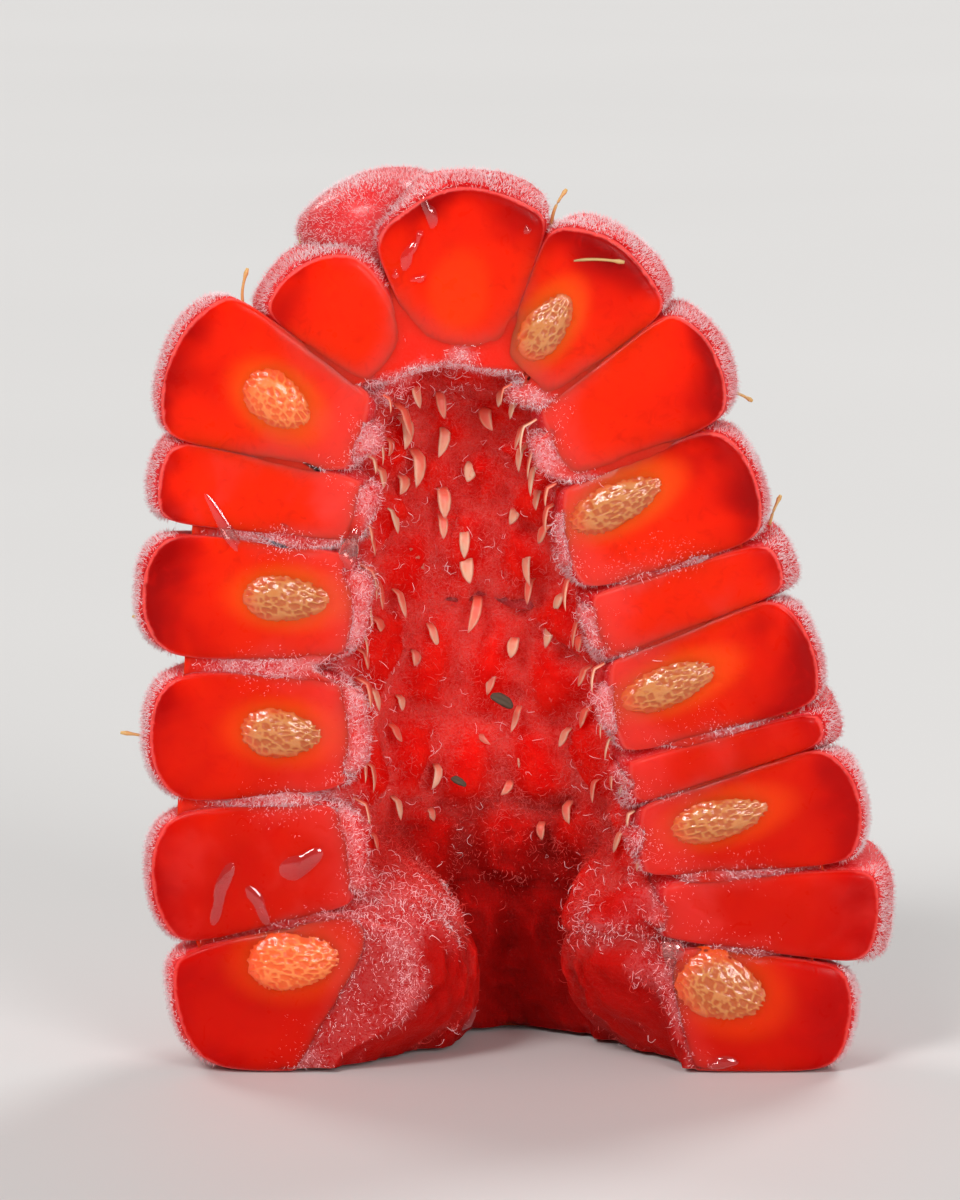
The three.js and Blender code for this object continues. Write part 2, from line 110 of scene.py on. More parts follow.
# Whole drupelets with a place of their own.
WHOLE_DRUPELETS = {
    "crown_left": (-2.8, 2.75, 19.6, 1.85, 1.65, 1.7, 116),
    "tongue_left": (-3.4, 2.8, 2.45, 2.8, 1.95, 2.1, 234),
    "tongue_back_left": (-1.7, 6.5, 2.3, 1.9, 2.6, 2.4, 190),
    "tongue_back_right": (1.9, 6.4, 2.3, 1.9, 2.6, 2.4, -10),
    "tongue_right": (3.6, 3.4, 2.9, 2.9, 1.95, 2.2, -36),
}
# Drupelets above this height end at the hollow, which is so many times as deep as it is wide.
RIM_TOP = 3.9
HOLLOW_DEPTH = 1.15
# Neighbours on the cut face that a band of soft skin keeps apart, and how wide the band is.
BANDS = {
    ("left_2", "left_3"): 0.18,
    ("left_3", "left_4"): 0.30,
    ("left_4", "left_5"): 0.14,
    ("left_5", "left_6"): 0.08,
    ("right_3", "right_4"): 0.04,
    ("right_5", "right_6"): 0.10,
    ("right_7", "right_8"): 0.12,
    ("right_8", "right_9"): 0.04,
}
# Whole drupelets that swell freely behind opened ones.
OPEN_TO = {
    "crown_left": ("crown", "left_0", "left_1"),
    "tongue_left": ("left_6", "left_5"),
    "tongue_right": ("right_9", "right_8"),
}
# Where the side of an opened drupelet is cut slantwise: distance from its middle and slope in degrees.
SLANTS = {"left_6": (1.35, -30), "right_9": (1.75, 195)}
# What the names of the rim's whole drupelets start with, and those that are bare inside and fully dark with
# painted shade.
TONGUE = "tongue"
SHADED_TONGUES = ("tongue_back_left", "tongue_back_right")
# The same tufts run over the tongues and the felt that is draped over them.
TUFT_SEED = 79
# How much further behind the cut some opened drupelets stand, so that more skin shows round the face.
SET_BACK = {"crown": 0.35, "left_0": 0.35, "right_1": 0.25, "left_1": 0.15, "right_2": 0.1}
# Opened drupelets whose face is dull under a film.
FILMED = ("left_2", "left_5", "right_4", "right_6", "right_8")

# Stones: x, z, length, height, tilt in degrees.
STONES = {
    "left_1": (-5.5, 16.25, 2.2, 1.45, -35),
    "left_3": (-5.3, 11.55, 2.5, 1.35, -3),
    "left_4": (-5.4, 8.3, 2.45, 1.4, -4),
    "left_6": (-5.15, 2.75, 2.7, 1.65, 6),
    "right_1": (0.85, 18.1, 2.15, 1.2, 56),
    "right_3": (2.55, 13.85, 2.8, 1.25, 27),
    "right_5": (3.85, 9.5, 2.9, 1.2, 22),
    "right_7": (5.05, 6.25, 2.9, 1.2, 15),
    "right_9": (5.15, 2.05, 2.65, 1.85, -20),
}
STONE_THICKNESS = 1.0
STONE_SINK = 0.16
STONE_TAPER = 0.22
# Stones that a film of flesh still covers.
VEILED = ("left_1", "left_6")
# A stone that only shows through the flesh as a warmer patch, in the same values.
HIDDEN_STONES = {"crown": (-1.25, 18.9, 1.7, 1.2, 80)}
HIDDEN_GLOW = 0.35


def axis_x(z: Array | float) -> Array | float:
    """The leaning axis: its x at a height."""
    return AXIS_X + AXIS_LEAN * z


def at_height(table: Array, z: Array | float, column: int) -> Array | float:
    """A column of a table of heights, straight between its rows."""
    return np.interp(z, table[:, 0], table[:, column])


def to_frame(points: Array) -> Array:
    """Points of the fruit's frame in millimetres as points of the shared frame in metres."""
    return (points + np.array([FRUIT_X, CUT_Y, 0.0])) * MM


def tilted(degrees: float) -> tuple[float, float]:
    """The cosine and sine of a tilt in the cut plane."""
    return math.cos(math.radians(degrees)), math.sin(math.radians(degrees))


def in_cut(points: Array, x: float, z: float, tilt: float) -> Array:
    """Tilts points in the cut plane and moves them.

    Args:
        points: round their own middle.
        x: where the middle goes.
        z: its height.
        tilt: in degrees.

    Returns:
        The points in their place.
    """
    along, across = tilted(tilt)
    u, depth, v = np.moveaxis(points, -1, 0)
    return np.stack([x + u * along - v * across, depth, z + u * across + v * along], -1)


def unit(vectors: Array) -> Array:
    """Vectors scaled to length one."""
    return vectors / np.maximum(np.linalg.norm(vectors, axis=-1, keepdims=True), 1e-9)


def smooth(values: Array, low: float, high: float) -> Array:
    """A soft step from 0 at low to 1 at high."""
    share = np.clip((values - low) / (high - low), 0.0, 1.0)
    return share * share * (3 - 2 * share)


class Draws:
    """Repeatable random numbers from 0 to 1, one at a time, as the solid frame draws them."""

    def __init__(self, seed: int) -> None:
        """Starts the row of numbers at a seed."""
        self.state = seed

    def __call__(self) -> float:
        """The next number."""
        self.state = self.state * 16807 % 2147483647
        return self.state / 2147483647


# Odd factors that hash a lattice corner and a seed, and the bits that are kept of the result.
HASH_PLACE = np.array([374761393, 668265263, 2147483647])
HASH_SEED = 144269
HASH_STIR = 1274126177
HASH_FIRST = 0x7FFFFFFF
HASH_LAST = 0xFFFF


def noise(points: Array, size: float, seed: int = 0) -> Array:
    """Smooth value noise from -1 to 1 in space.

    Each corner of a lattice has a value hashed from its place, and a point blends the eight corners round it
    with weights that ease in and out.

    Args:
        points: places, with x, y and z in the last axis.
        size: width of a lattice cell.
        seed: picks another pattern.

    Returns:
        One value per point.
    """
    scaled = points / size
    corner = np.floor(scaled).astype(np.int64)
    part = scaled - corner
    part = part * part * (3 - 2 * part)
    total = np.zeros(points.shape[:-1])
    for bits in range(8):
        step = np.array([bits & 1, bits >> 1 & 1, bits >> 2 & 1])
        mixed = ((corner + step) * HASH_PLACE).sum(axis=-1) + seed * HASH_SEED
        mixed = (mixed ^ (mixed >> 13)) * HASH_STIR & HASH_FIRST
        mixed = (mixed ^ (mixed >> 16)) & HASH_LAST
        weight = np.prod(np.where(step == 1, part, 1 - part), axis=-1)
        total += weight * (mixed / (HASH_LAST / 2) - 1)
    return total


def layered(points: Array, size: float, layers: int, seed: int = 0) -> Array:
    """Noise summed over finer and finer layers, each half as wide and half as strong."""
    return sum(noise(points, size / 2**i, seed + i) / 2**i for i in range(layers))


# ------------------------ surfaces and meshes


@dataclass
class Surface:
    """A closed surface, or several, with values at its points.

    points are millimetres in the fruit's frame; quads and triangles index them; values are named numbers that
    the finishes read.
    """

    points: Array
    quads: Array
    triangles: Array
    values: dict[str, Array] = field(default_factory=dict)

    @staticmethod
    def joined(parts: list["Surface"]) -> "Surface":
        """Several surfaces as one.

        Args:
            parts: the surfaces.

        Returns:
            Their sum, with the values that they all have.
        """
        starts = np.cumsum([0] + [len(part.points) for part in parts[:-1]])
        names = set.intersection(*[set(part.values) for part in parts])
        return Surface(
            np.concatenate([part.points for part in parts]),
            np.concatenate([part.quads + start for part, start in zip(parts, starts)]),
            np.concatenate([part.triangles + start for part, start in zip(parts, starts)]),
            {name: np.concatenate([part.values[name] for part in parts]) for name in sorted(names)},
        )

    def all_triangles(self) -> Array:
        """The faces as triangles only."""
        halves = np.concatenate([self.quads[:, [0, 1, 2]], self.quads[:, [0, 2, 3]]])
        return np.concatenate([halves, self.triangles]).astype(np.int64)

    def build(self, name: str) -> Piece:
        """Makes the mesh object, in metres in the shared frame, with smooth shading.

        Args:
            name: the object's name.

        Returns:
            The new object, at the origin.
        """
        mesh = bpy.data.meshes.new(name)
        mesh.vertices.add(len(self.points))
        mesh.vertices.foreach_set("co", to_frame(self.points).astype(np.float32).ravel())
        corners = np.concatenate([self.quads.ravel(), self.triangles.ravel()]).astype(np.int32)
        mesh.loops.add(len(corners))
        mesh.loops.foreach_set("vertex_index", corners)
        fours = 4 * np.arange(len(self.quads))
        threes = 4 * len(self.quads) + 3 * np.arange(len(self.triangles))
        starts = np.concatenate([fours, threes]).astype(np.int32)
        mesh.polygons.add(len(starts))
        mesh.polygons.foreach_set("loop_start", starts)
        mesh.polygons.foreach_set("use_smooth", np.ones(len(starts), dtype=bool))
        mesh.update(calc_edges=True)
        for key, numbers in self.values.items():
            layer = mesh.attributes.new(key, "FLOAT", "POINT")
            layer.data.foreach_set("value", numbers.astype(np.float32).ravel())
        piece = bpy.data.objects.new(name, mesh)
        bpy.context.scene.collection.objects.link(piece)
        return piece


def sphere_grid(rows: int, columns: int) -> tuple[Array, Array]:
    """Angles of a ball's grid, from its first pole and round it, each an array of rows by columns."""
    tilt, turn = np.pi * (np.arange(rows) + 1) / (rows + 1), 2 * np.pi * np.arange(columns) / columns
    return tuple(np.meshgrid(tilt, turn, indexing="ij"))


def ball_faces(rows: int, columns: int) -> tuple[Array, Array]:
    """Faces of a ball grid: a first pole, rows of points round it, and a last pole.

    Args:
        rows: rows between the poles.
        columns: points in a row.

    Returns:
        Quads and triangles, facing out where a row turns anticlockwise round the first pole.
    """
    row, column = np.meshgrid(np.arange(rows - 1), np.arange(columns), indexing="ij")
    here = 1 + row * columns + column
    beside = 1 + row * columns + (column + 1) % columns
    quads = np.stack([here, here + columns, beside + columns, beside], -1).reshape(-1, 4)
    ring = np.arange(columns)
    after = (ring + 1) % columns
    last = 1 + (rows - 1) * columns
    first_fan = np.stack([np.zeros(columns, int), 1 + ring, 1 + after], -1)
    last_fan = np.stack([last + ring, np.full(columns, last + columns), last + after], -1)
    return quads, np.concatenate([first_fan, last_fan])


def ball(first: Array, grid: Array, last: Array, values: dict[str, Array] | None = None) -> Surface:
    """A ball surface from its poles and its grid of rows by columns points.

    Args:
        first: the first pole.
        grid: rows by columns by 3.
        last: the last pole.
        values: numbers per grid point; a pole takes the mean of the row beside it.

    Returns:
        The closed surface.
    """
    rows, columns = grid.shape[:2]
    quads, triangles = ball_faces(rows, columns)
    points = np.concatenate([first[None], grid.reshape(-1, 3), last[None]])
    kept = {}
    for name, numbers in (values or {}).items():
        flat = [numbers[0].mean(keepdims=True), numbers.ravel(), numbers[-1].mean(keepdims=True)]
        kept[name] = np.concatenate(flat)
    return Surface(points, quads, triangles, kept)


def tubes(
    paths: Array, radii: Array, sides: int, flat: float = 1.0, wide: Array | None = None
) -> Surface:
    """Closed tubes: a ring stands square to each point of a path, and a fan closes each end.

    Args:
        paths: tubes by steps by 3.
        radii: tubes by steps.
        sides: points round a tube.
        flat: thickness as a share of width.
        wide: direction of each tube's width, or None for any.

    Returns:
        The tubes, with "up_tube" from 0 at the root to 1 at the tip and "side" from 0 on the middle of a
        flat side to 1 on its edges.
    """
    count, steps = paths.shape[:2]
    forward = unit(np.gradient(paths, axis=1))
    helper = np.where(np.abs(forward[..., 2:]) < 0.9, [[[0.0, 0.0, 1.0]]], [[[1.0, 0.0, 0.0]]])
    if wide is not None:
        helper = np.cross(forward, wide[:, None])
    across = unit(np.cross(helper, forward))
    beside = np.cross(forward, across)
    angle = 2 * np.pi * np.arange(sides) / sides
    spokes = (
        across[:, :, None] * np.cos(angle)[None, None, :, None]
        + beside[:, :, None] * np.sin(angle)[None, None, :, None] * flat
    )
    rings = paths[:, :, None] + spokes * radii[:, :, None, None]
    points = np.concatenate([paths[:, :1], rings.reshape(count, -1, 3), paths[:, -1:]], axis=1)
    quads, triangles = ball_faces(steps, sides)
    quads, triangles = quads[:, ::-1], triangles[:, ::-1]
    size = points.shape[1]
    offsets = size * np.arange(count)
    along = np.concatenate([[0.0], np.repeat(np.linspace(0, 1, steps), sides), [1.0]])
    side = np.concatenate([[0.0], np.tile(np.abs(np.cos(angle)), steps), [0.0]])
    return Surface(
        points.reshape(-1, 3),
        (quads[None] + offsets[:, None, None]).reshape(-1, 4),
        (triangles[None] + offsets[:, None, None]).reshape(-1, 3),
        {"up_tube": np.tile(along, count), "side": np.tile(side, count)},
    )


def spikes(roots: Array, ways: Array, lengths: Array, radius: float) -> Surface:
    """Straight hairs: slim closed three-sided spikes.

    Args:
        roots: spikes by 3.
        ways: unit directions.
        lengths: one per spike.
        radius: of the triangle round each root.

    Returns:
        All the spikes.
    """
    helper = np.where(np.abs(ways[:, 2:]) < 0.9, [[0.0, 0.0, 1.0]], [[1.0, 0.0, 0.0]])
    across = unit(np.cross(helper, ways))
    beside = np.cross(ways, across)
    corners = [
        roots + radius * (math.cos(turn) * across + math.sin(turn) * beside)
        for turn in (0.0, 2 * math.pi / 3, 4 * math.pi / 3)
    ]
    tips = roots + ways * lengths[:, None]
    points = np.stack([*corners, tips], axis=1)
    faces = np.array([[0, 1, 3], [1, 2, 3], [2, 0, 3], [0, 2, 1]])
    offsets = 4 * np.arange(len(roots))
    triangles = (faces[None] + offsets[:, None, None]).reshape(-1, 3)
    return Surface(points.reshape(-1, 3), np.zeros((0, 4), int), triangles)


def scatter(surface: Surface, weight: Array, count: int, seed: int) -> tuple[Array, Array]:
    """Random places on a surface, more where the weight is higher.

    Args:
        surface: what to cover.
        weight: one number per point of it.
        count: how many places.
        seed: of the draws.

    Returns:
        The places and the unit normals there.
    """
    rng = np.random.default_rng(seed)
    triangles = surface.all_triangles()
    a, b, c = (surface.points[triangles[:, i]] for i in range(3))
    normal = np.cross(b - a, c - a)
    area = np.linalg.norm(normal, axis=1) * weight[triangles].mean(axis=1)
    chosen = rng.choice(len(triangles), size=count, p=area / area.sum())
    first, second = rng.random((2, count, 1))
    fold = first + second > 1
    first, second = np.where(fold, 1 - first, first), np.where(fold, 1 - second, second)
    places = a[chosen] + (b - a)[chosen] * first + (c - a)[chosen] * second
    return places, unit(normal[chosen])


# ------------------------ shaders


class Number:
    """A number socket of a node tree that expressions can be written on."""

    def __init__(self, tree: "Tree", socket: Socket) -> None:
        """Wraps a socket of the tree."""
        self.tree = tree
        self.socket = socket

    def _math(self, operation: str, *values: "Number | float") -> "Number":
        """A Math node on values, of which this is one."""
        node = self.tree.add("ShaderNodeMath", {"operation": operation}, dict(enumerate(values)))
        return Number(self.tree, node.outputs[0])

    def __add__(self, other: "Number | float") -> "Number":
        """Sum."""
        return self._math("ADD", self, other)

    def __radd__(self, other: float) -> "Number":
        """Sum with a plain number first."""
        return self._math("ADD", other, self)

    def __sub__(self, other: "Number | float") -> "Number":
        """Difference."""
        return self._math("SUBTRACT", self, other)

    def __rsub__(self, other: float) -> "Number":
        """A plain number less this one."""
        return self._math("SUBTRACT", other, self)

    def __mul__(self, other: "Number | float") -> "Number":
        """Product."""
        return self._math("MULTIPLY", self, other)

    def step(self, low: float, high: float) -> "Number":
        """A soft step of this value, from 0 at low to 1 at high."""
        settings, ends = {"interpolation_type": "SMOOTHSTEP"}, {"From Min": low, "From Max": high}
        node = self.tree.add("ShaderNodeMapRange", settings, {"Value": self, **ends})
        return Number(self.tree, node.outputs["Result"])


class Tree:
    """The node tree of one material, with its shader."""

    # Places of the colour sockets of a Mix node.
    MIX_ONE = 6
    MIX_OTHER = 7
    MIX_RESULT = 2

    def __init__(self, name: str) -> None:
        """Starts a material with a single Principled shader.

        Args:
            name: of the material.
        """
        self.material = bpy.data.materials.new(name)
        self.material.use_nodes = True
        self.nodes = self.material.node_tree.nodes
        self.links = self.material.node_tree.links
        self.shader = next(node for node in self.nodes if node.type == "BSDF_PRINCIPLED")

    def add(self, kind: str, settings: dict | None = None, inputs: dict | None = None) -> bpy.types.Node:
        """Adds any node.

        Args:
            kind: the node's type.
            settings: its own settings.
            inputs: a value or a link for each socket, by name or number.

        Returns:
            The node.
        """
        node = self.nodes.new(kind)
        for name, value in (settings or {}).items():
            setattr(node, name, value)
        for name, value in (inputs or {}).items():
            self.feed(node.inputs[name], value)
        return node

    def feed(self, socket: Socket, value: object) -> None:
        """Sets a socket, or links something to it.

        Args:
            socket: what is fed.
            value: a plain value or colour, or the Number or socket to link.
        """
        if isinstance(value, Number):
            self.links.new(value.socket, socket)
        elif isinstance(value, Socket):
            self.links.new(value, socket)
        elif isinstance(value, tuple) and len(value) == 3 and socket.type == "RGBA":
            socket.default_value = (*value, 1.0)
        else:
            socket.default_value = value

    def place(self) -> Socket:
        """Object coordinates, in metres."""
        return self.add("ShaderNodeTexCoord").outputs["Object"]

    def value(self, name: str) -> Number:
        """A value that the mesh carries."""
        node = self.add("ShaderNodeAttribute", {"attribute_name": name, "attribute_type": "GEOMETRY"})
        return Number(self, node.outputs["Fac"])

    def grain(self, size: float, detail: float = 3.0, rough: float = 0.55, twist: float = 0.0) -> Number:
        """Noise in space, from 0 to 1.

        Args:
            size: width of its spots in metres.
            detail: how many finer layers it has.
            rough: strength of each layer as a share of the one before.
            twist: how much it is distorted.

        Returns:
            The noise.
        """
        inputs = {"Vector": self.place(), "Scale": 1 / size}
        inputs.update({"Detail": detail, "Roughness": rough, "Distortion": twist})
        return Number(self, self.add("ShaderNodeTexNoise", None, inputs).outputs["Fac"])

    def mix(self, share: Number | float, one: object, other: object) -> Socket:
        """A colour between two.

        Args:
            share: how much of the second, from 0 to 1.
            one: the first colour or its socket.
            other: the second colour or its socket.

        Returns:
            The socket of the mixed colour.
        """
        node = self.add("ShaderNodeMix", {"data_type": "RGBA"}, {"Factor": share})
        self.feed(node.inputs[self.MIX_ONE], one)
        self.feed(node.inputs[self.MIX_OTHER], other)
        return node.outputs[self.MIX_RESULT]

    def bump(self, height: Number, strength: float, distance: float) -> None:
        """Bumps on the shader's normal, where a height of 1 is so many metres tall."""
        inputs = {"Height": height, "Strength": strength, "Distance": distance}
        self.feed(self.shader.inputs["Normal"], self.add("ShaderNodeBump", None, inputs).outputs["Normal"])

    def dress(self, **inputs: object) -> Material:
        """Sets the shader's sockets.

        Args:
            inputs: a value or a link for each socket, with underscores for the spaces of its name.

        Returns:
            The material.
        """
        for name, value in inputs.items():
            self.feed(self.shader.inputs[name.replace("_", " ")], value)
        return self.material


@dataclass(frozen=True)
class Finish:
    """A look: colours, shares, and sizes in metres, of which make() builds the material called name."""

    name: str

    def make(self) -> Material:
        """Builds the material."""
        return Tree(self.name).material


@dataclass(frozen=True)
class FleshFinish(Finish):
    """Cut flesh and the skin round it, on one surface.

    It reads the values of a cut drupelet: "face" is 1 on the cut face and 0 on the skin, "radial" grows to 1
    at the face's rim, "forth" grows along the drupelet to its outer end, "glow" is how near the stone is,
    "ripe" how low on the fruit, "free" where the skin touches no neighbour, and "film" is 1 on a dull face.
    """

    name: str = "flesh"
    deep: tuple = (0.30, 0.0004, 0.0002)
    middle: tuple = (0.58, 0.0016, 0.0003)
    bright: tuple = (0.92, 0.019, 0.0008)
    halo: tuple = (0.92, 0.072, 0.004)
    film: tuple = (0.91, 0.080, 0.066)
    membrane: tuple = (0.92, 0.11, 0.10)
    skin: tuple = (0.62, 0.005, 0.007)
    skin_light: tuple = (0.78, 0.022, 0.026)
    fuzz: tuple = (0.93, 0.30, 0.31)
    scatter: tuple = (1.0, 0.12, 0.06)
    scatter_depth: float = 0.0014
    cloud_size: float = 0.0016
    fibre_size: float = 0.00045
    broad_size: float = 0.0030
    streak_size: float = 0.0012
    fuzz_size: float = 0.00009
    ripple_size: float = 0.0007
    ripple_height: float = 0.00009
    vein_share: float = 0.35
    halo_loss: float = 0.4
    pale_share: float = 0.4
    film_share: float = 0.24
    low_down_share: float = 0.4

    def make(self) -> Material:
        """Builds the material.

        The face's red lightens from the outer end to the inner and darkens low on the fruit, with an orange
        halo round the stone, a pale inner end and a pink rim. The skin is crimson with specks of fuzz.

        Returns:
            The material.
        """
        tree = Tree(self.name)
        face, radial = tree.value("face"), tree.value("radial")
        forth, glow = tree.value("forth"), tree.value("glow")
        cloud = tree.grain(self.cloud_size, 2.0, 0.5, 0.6)
        fibre = tree.grain(self.fibre_size, 2.5, 0.6, 1.2)
        broad = tree.grain(self.broad_size, 2.0, 0.5)
        out = (forth * 0.5 + 0.5 + (cloud - 0.5) * 0.4 + (broad - 0.5) * 0.9).step(0.42, 1.0)
        red = tree.mix(out, self.bright, self.middle)
        red = tree.mix((out * radial).step(0.22, 0.95), red, self.deep)
        red = tree.mix(tree.value("ripe") * (0.42 + cloud * 0.35), red, self.deep)
        red = tree.mix((fibre - 0.5).step(0.0, 0.28) * self.vein_share, red, self.middle)
        red = tree.mix(glow * (1 - tree.value("ripe") * self.halo_loss), red, self.halo)
        streak = tree.grain(self.streak_size, 2.5, 0.6, 0.4)
        pale = (radial - forth * 0.7 + (streak - 0.5) * 0.9).step(0.75, 1.5)
        pale = pale * self.pale_share
        red = tree.mix(pale + streak.step(0.45, 0.8) * tree.value("film") * self.film_share, red, self.film)
        edge = (radial + (fibre - 0.5) * 0.06).step(0.955, 0.99)
        red = tree.mix(edge * (tree.value("free") * 0.5 + 0.35), red, self.membrane)
        red = tree.mix(tree.value("ripe") * self.low_down_share, red, self.middle)
        spots = tree.mix(cloud.step(0.35, 0.7), self.skin, self.skin_light)
        fuzz = tree.grain(self.fuzz_size, 3.0, 0.65, 1.0).step(0.47, 0.66)
        spots = tree.mix(fuzz * (0.2 + cloud * 0.4), spots, self.fuzz)
        colour = tree.mix(face, spots, red)
        ripple = tree.grain(self.ripple_size, 1.5, 0.5)
        tree.bump(ripple + fibre * 0.35, 0.35, self.ripple_height)
        return tree.dress(
            Base_Color=colour,
            Roughness=0.40 - face * 0.16 + fibre * 0.1,
            Subsurface_Weight=1.0,
            Subsurface_Radius=self.scatter,
            Subsurface_Scale=self.scatter_depth,
            IOR=1.36,
            Specular_IOR_Level=0.12,
            Coat_Weight=face * 0.04 + 0.03,
            Coat_Roughness=0.08,
            Coat_IOR=1.33,
        )


@dataclass(frozen=True)
class SkinFinish(Finish):
    """Whole skin: crimson, taut and moist, with a bloom at grazing angles.

    It reads "shade", which is 1 where the skin is bare and dark with painted shade, and "tuft", where fuzz
    grows on it.
    """

    name: str = "skin"
    dark: tuple = (0.56, 0.005, 0.007)
    light: tuple = (0.78, 0.022, 0.026)
    fuzz: tuple = (0.92, 0.22, 0.23)
    # Colour of the painted shade on the tongues inside the hollow.
    bare: tuple = (0.30, 0.0010, 0.0008)
    scatter: tuple = (1.0, 0.14, 0.09)
    scatter_depth: float = 0.0012
    cloud_size: float = 0.0022
    pore_size: float = 0.00022
    pore_height: float = 0.00006
    fuzz_size: float = 0.00009

    def make(self) -> Material:
        """Builds the material: two reds in soft patches, with fine pores and specks of fuzz.

        Returns:
            The material.
        """
        tree = Tree(self.name)
        cloud = tree.grain(self.cloud_size, 3.0, 0.5, 0.4)
        fine = tree.grain(self.pore_size, 3.0, 0.6)
        colour = tree.mix(cloud.step(0.3, 0.72), self.dark, self.light)
        # Painted shade: the tongues darken inside the hollow and further behind the cut.
        colour = tree.mix(tree.value("shade"), colour, self.bare)
        fuzz = tree.grain(self.fuzz_size, 3.0, 0.65, 1.0).step(0.47, 0.66)
        colour = tree.mix(fuzz * (0.15 + cloud * 0.4) * tree.value("tuft"), colour, self.fuzz)
        tree.bump(fine + cloud, 0.25, self.pore_height)
        return tree.dress(
            Base_Color=colour,
            Roughness=0.3 + fine * 0.15,
            Subsurface_Weight=1.0,
            Subsurface_Radius=self.scatter,
            Subsurface_Scale=self.scatter_depth,
            IOR=1.4,
            Specular_IOR_Level=0.4,
            Coat_Weight=0.2 - tree.value("shade") * 0.17,
            Coat_Roughness=0.12,
            Sheen_Weight=0.1,
            Sheen_Roughness=0.5,
            Sheen_Tint=(1.0, 0.75, 0.78, 1.0),
        )


@dataclass(frozen=True)
class FeltFinish(Finish):
    """The felted wall of the hollow: pink fluff over deep red.

    It reads the wall's values: "notch" in the folds, "dim", a painted shade low and deep in the hollow,
    "edge" in the fringe along the cut and "web" where the wall between two drupelets is bare flesh.
    """

    name: str = "felt"
    deep: tuple = (0.80, 0.004, 0.002)
    red: tuple = (0.90, 0.011, 0.005)
    pink: tuple = (0.92, 0.10, 0.085)
    # Colour of the painted shade low in the hollow.
    dim: tuple = (0.34, 0.0016, 0.0010)
    fringe: tuple = (0.94, 0.38, 0.40)
    web: tuple = (0.90, 0.018, 0.005)
    scatter: tuple = (1.0, 0.15, 0.1)
    scatter_depth: float = 0.0009
    cloud_size: float = 0.0011
    fluff_size: float = 0.00010
    fluff_height: float = 0.00012
    fringe_share: float = 0.7
    fringe_least: float = 0.04
    fringe_loss: float = 0.8

    def make(self) -> Material:
        """Builds the material: pink flecks over two reds, with painted shade low in the hollow and pink in
        the fringe.

        Returns:
            The material.
        """
        tree = Tree(self.name)
        notch = tree.value("notch")
        cloud = tree.grain(self.cloud_size, 2.5, 0.6, 1.0)
        fluff = tree.grain(self.fluff_size, 2.5, 0.7, 1.5)
        colour = tree.mix(cloud.step(0.38, 0.62), self.deep, self.red)
        colour = tree.mix((fluff * 0.8 + cloud * 0.3 + notch * 0.3).step(0.62, 1.05), colour, self.pink)
        # Painted shade: the felt darkens low in the hollow and further behind the cut.
        colour = tree.mix(tree.value("dim"), colour, self.dim)
        fuzz = (fluff + (cloud - 0.5) * 0.4).step(0.34, 0.62)
        fringe = tree.value("edge") * (fuzz * self.fringe_share + self.fringe_least)
        # The pale fringe fades under the painted shade.
        fringe = fringe * (1 - tree.value("dim") * self.fringe_loss)
        colour = tree.mix(fringe, colour, self.fringe)
        colour = tree.mix(tree.value("web") * (0.75 + cloud * 0.25), colour, self.web)
        tree.bump((fluff + cloud) * (1 - tree.value("web") * 0.85), 0.8, self.fluff_height)
        return tree.dress(
            Base_Color=colour,
            Roughness=0.62,
            Subsurface_Weight=1.0,
            Subsurface_Radius=self.scatter,
            Subsurface_Scale=self.scatter_depth,
            IOR=1.36,
            Specular_IOR_Level=0.15,
        )


@dataclass(frozen=True)
class HairFinish(Finish):
    """Fine hair, pale and a little translucent, whose emission can paint a glow in its own colour for light
    that comes through it from the flesh.
    """

    colour: tuple
    other: tuple
    # Strength of the painted glow, emission in the hair's own colour.
    painted_glow: float = 0.0
    rough: float = 0.5
    patch_size: float = 0.0012

    def make(self) -> Material:
        """Builds the material: two pale tones in patches, which give off a painted glow where its strength is
        set.

        Returns:
            The material.
        """
        tree = Tree(self.name)
        colour = tree.mix(tree.grain(self.patch_size, 2.0).step(0.35, 0.65), self.colour, self.other)
        return tree.dress(
            Base_Color=colour,
            Roughness=self.rough,
            IOR=1.45,
            Emission_Color=colour,
            Emission_Strength=self.painted_glow,
        )


@dataclass(frozen=True)
class StoneFinish(Finish):
    """A stone with a raised "net", which sinks into the flesh where "veil" rises."""

    pit: tuple
    wall: tuple
    net: tuple
    film: tuple
    least_film: float
    gloss: float
    cloud_size: float = 0.0007
    scratch_size: float = 0.00012
    scratch_height: float = 0.00004

    def make(self) -> Material:
        """Builds the material: pale net over darker pits, moist.

        Returns:
            The material.
        """
        tree = Tree(self.name)
        net = tree.value("net")
        cloud = tree.grain(self.cloud_size, 3.0)
        colour = tree.mix(cloud.step(0.3, 0.7), self.pit, self.wall)
        colour = tree.mix((net + (cloud - 0.5) * 0.3).step(0.25, 0.8), colour, self.net)
        veil = (tree.value("veil") * (1 - self.least_film) + self.least_film) * (0.7 + cloud * 0.5)
        colour = tree.mix(veil, colour, self.film)
        tree.bump(tree.grain(self.scratch_size, 3.0), 0.4, self.scratch_height)
        return tree.dress(
            Base_Color=colour,
            Roughness=0.34 - net * 0.12,
            Subsurface_Weight=0.4,
            Subsurface_Radius=(1.0, 0.45, 0.2),
            Subsurface_Scale=0.0006,
            IOR=1.45,
            Coat_Weight=self.gloss,
            Coat_Roughness=0.08,
        )


BARE_STONE = StoneFinish(
    name="stone_bare",
    pit=(0.42, 0.085, 0.009),
    wall=(0.44, 0.115, 0.018),
    net=(0.55, 0.23, 0.066),
    film=(0.80, 0.06, 0.005),
    least_film=0.14,
    gloss=0.6,
)
VEILED_STONE = StoneFinish(
    name="stone_veiled",
    pit=(0.70, 0.10, 0.01),
    wall=(0.80, 0.17, 0.02),
    net=(0.88, 0.30, 0.08),
    film=(0.90, 0.05, 0.004),
    least_film=0.35,
    gloss=0.3,
)


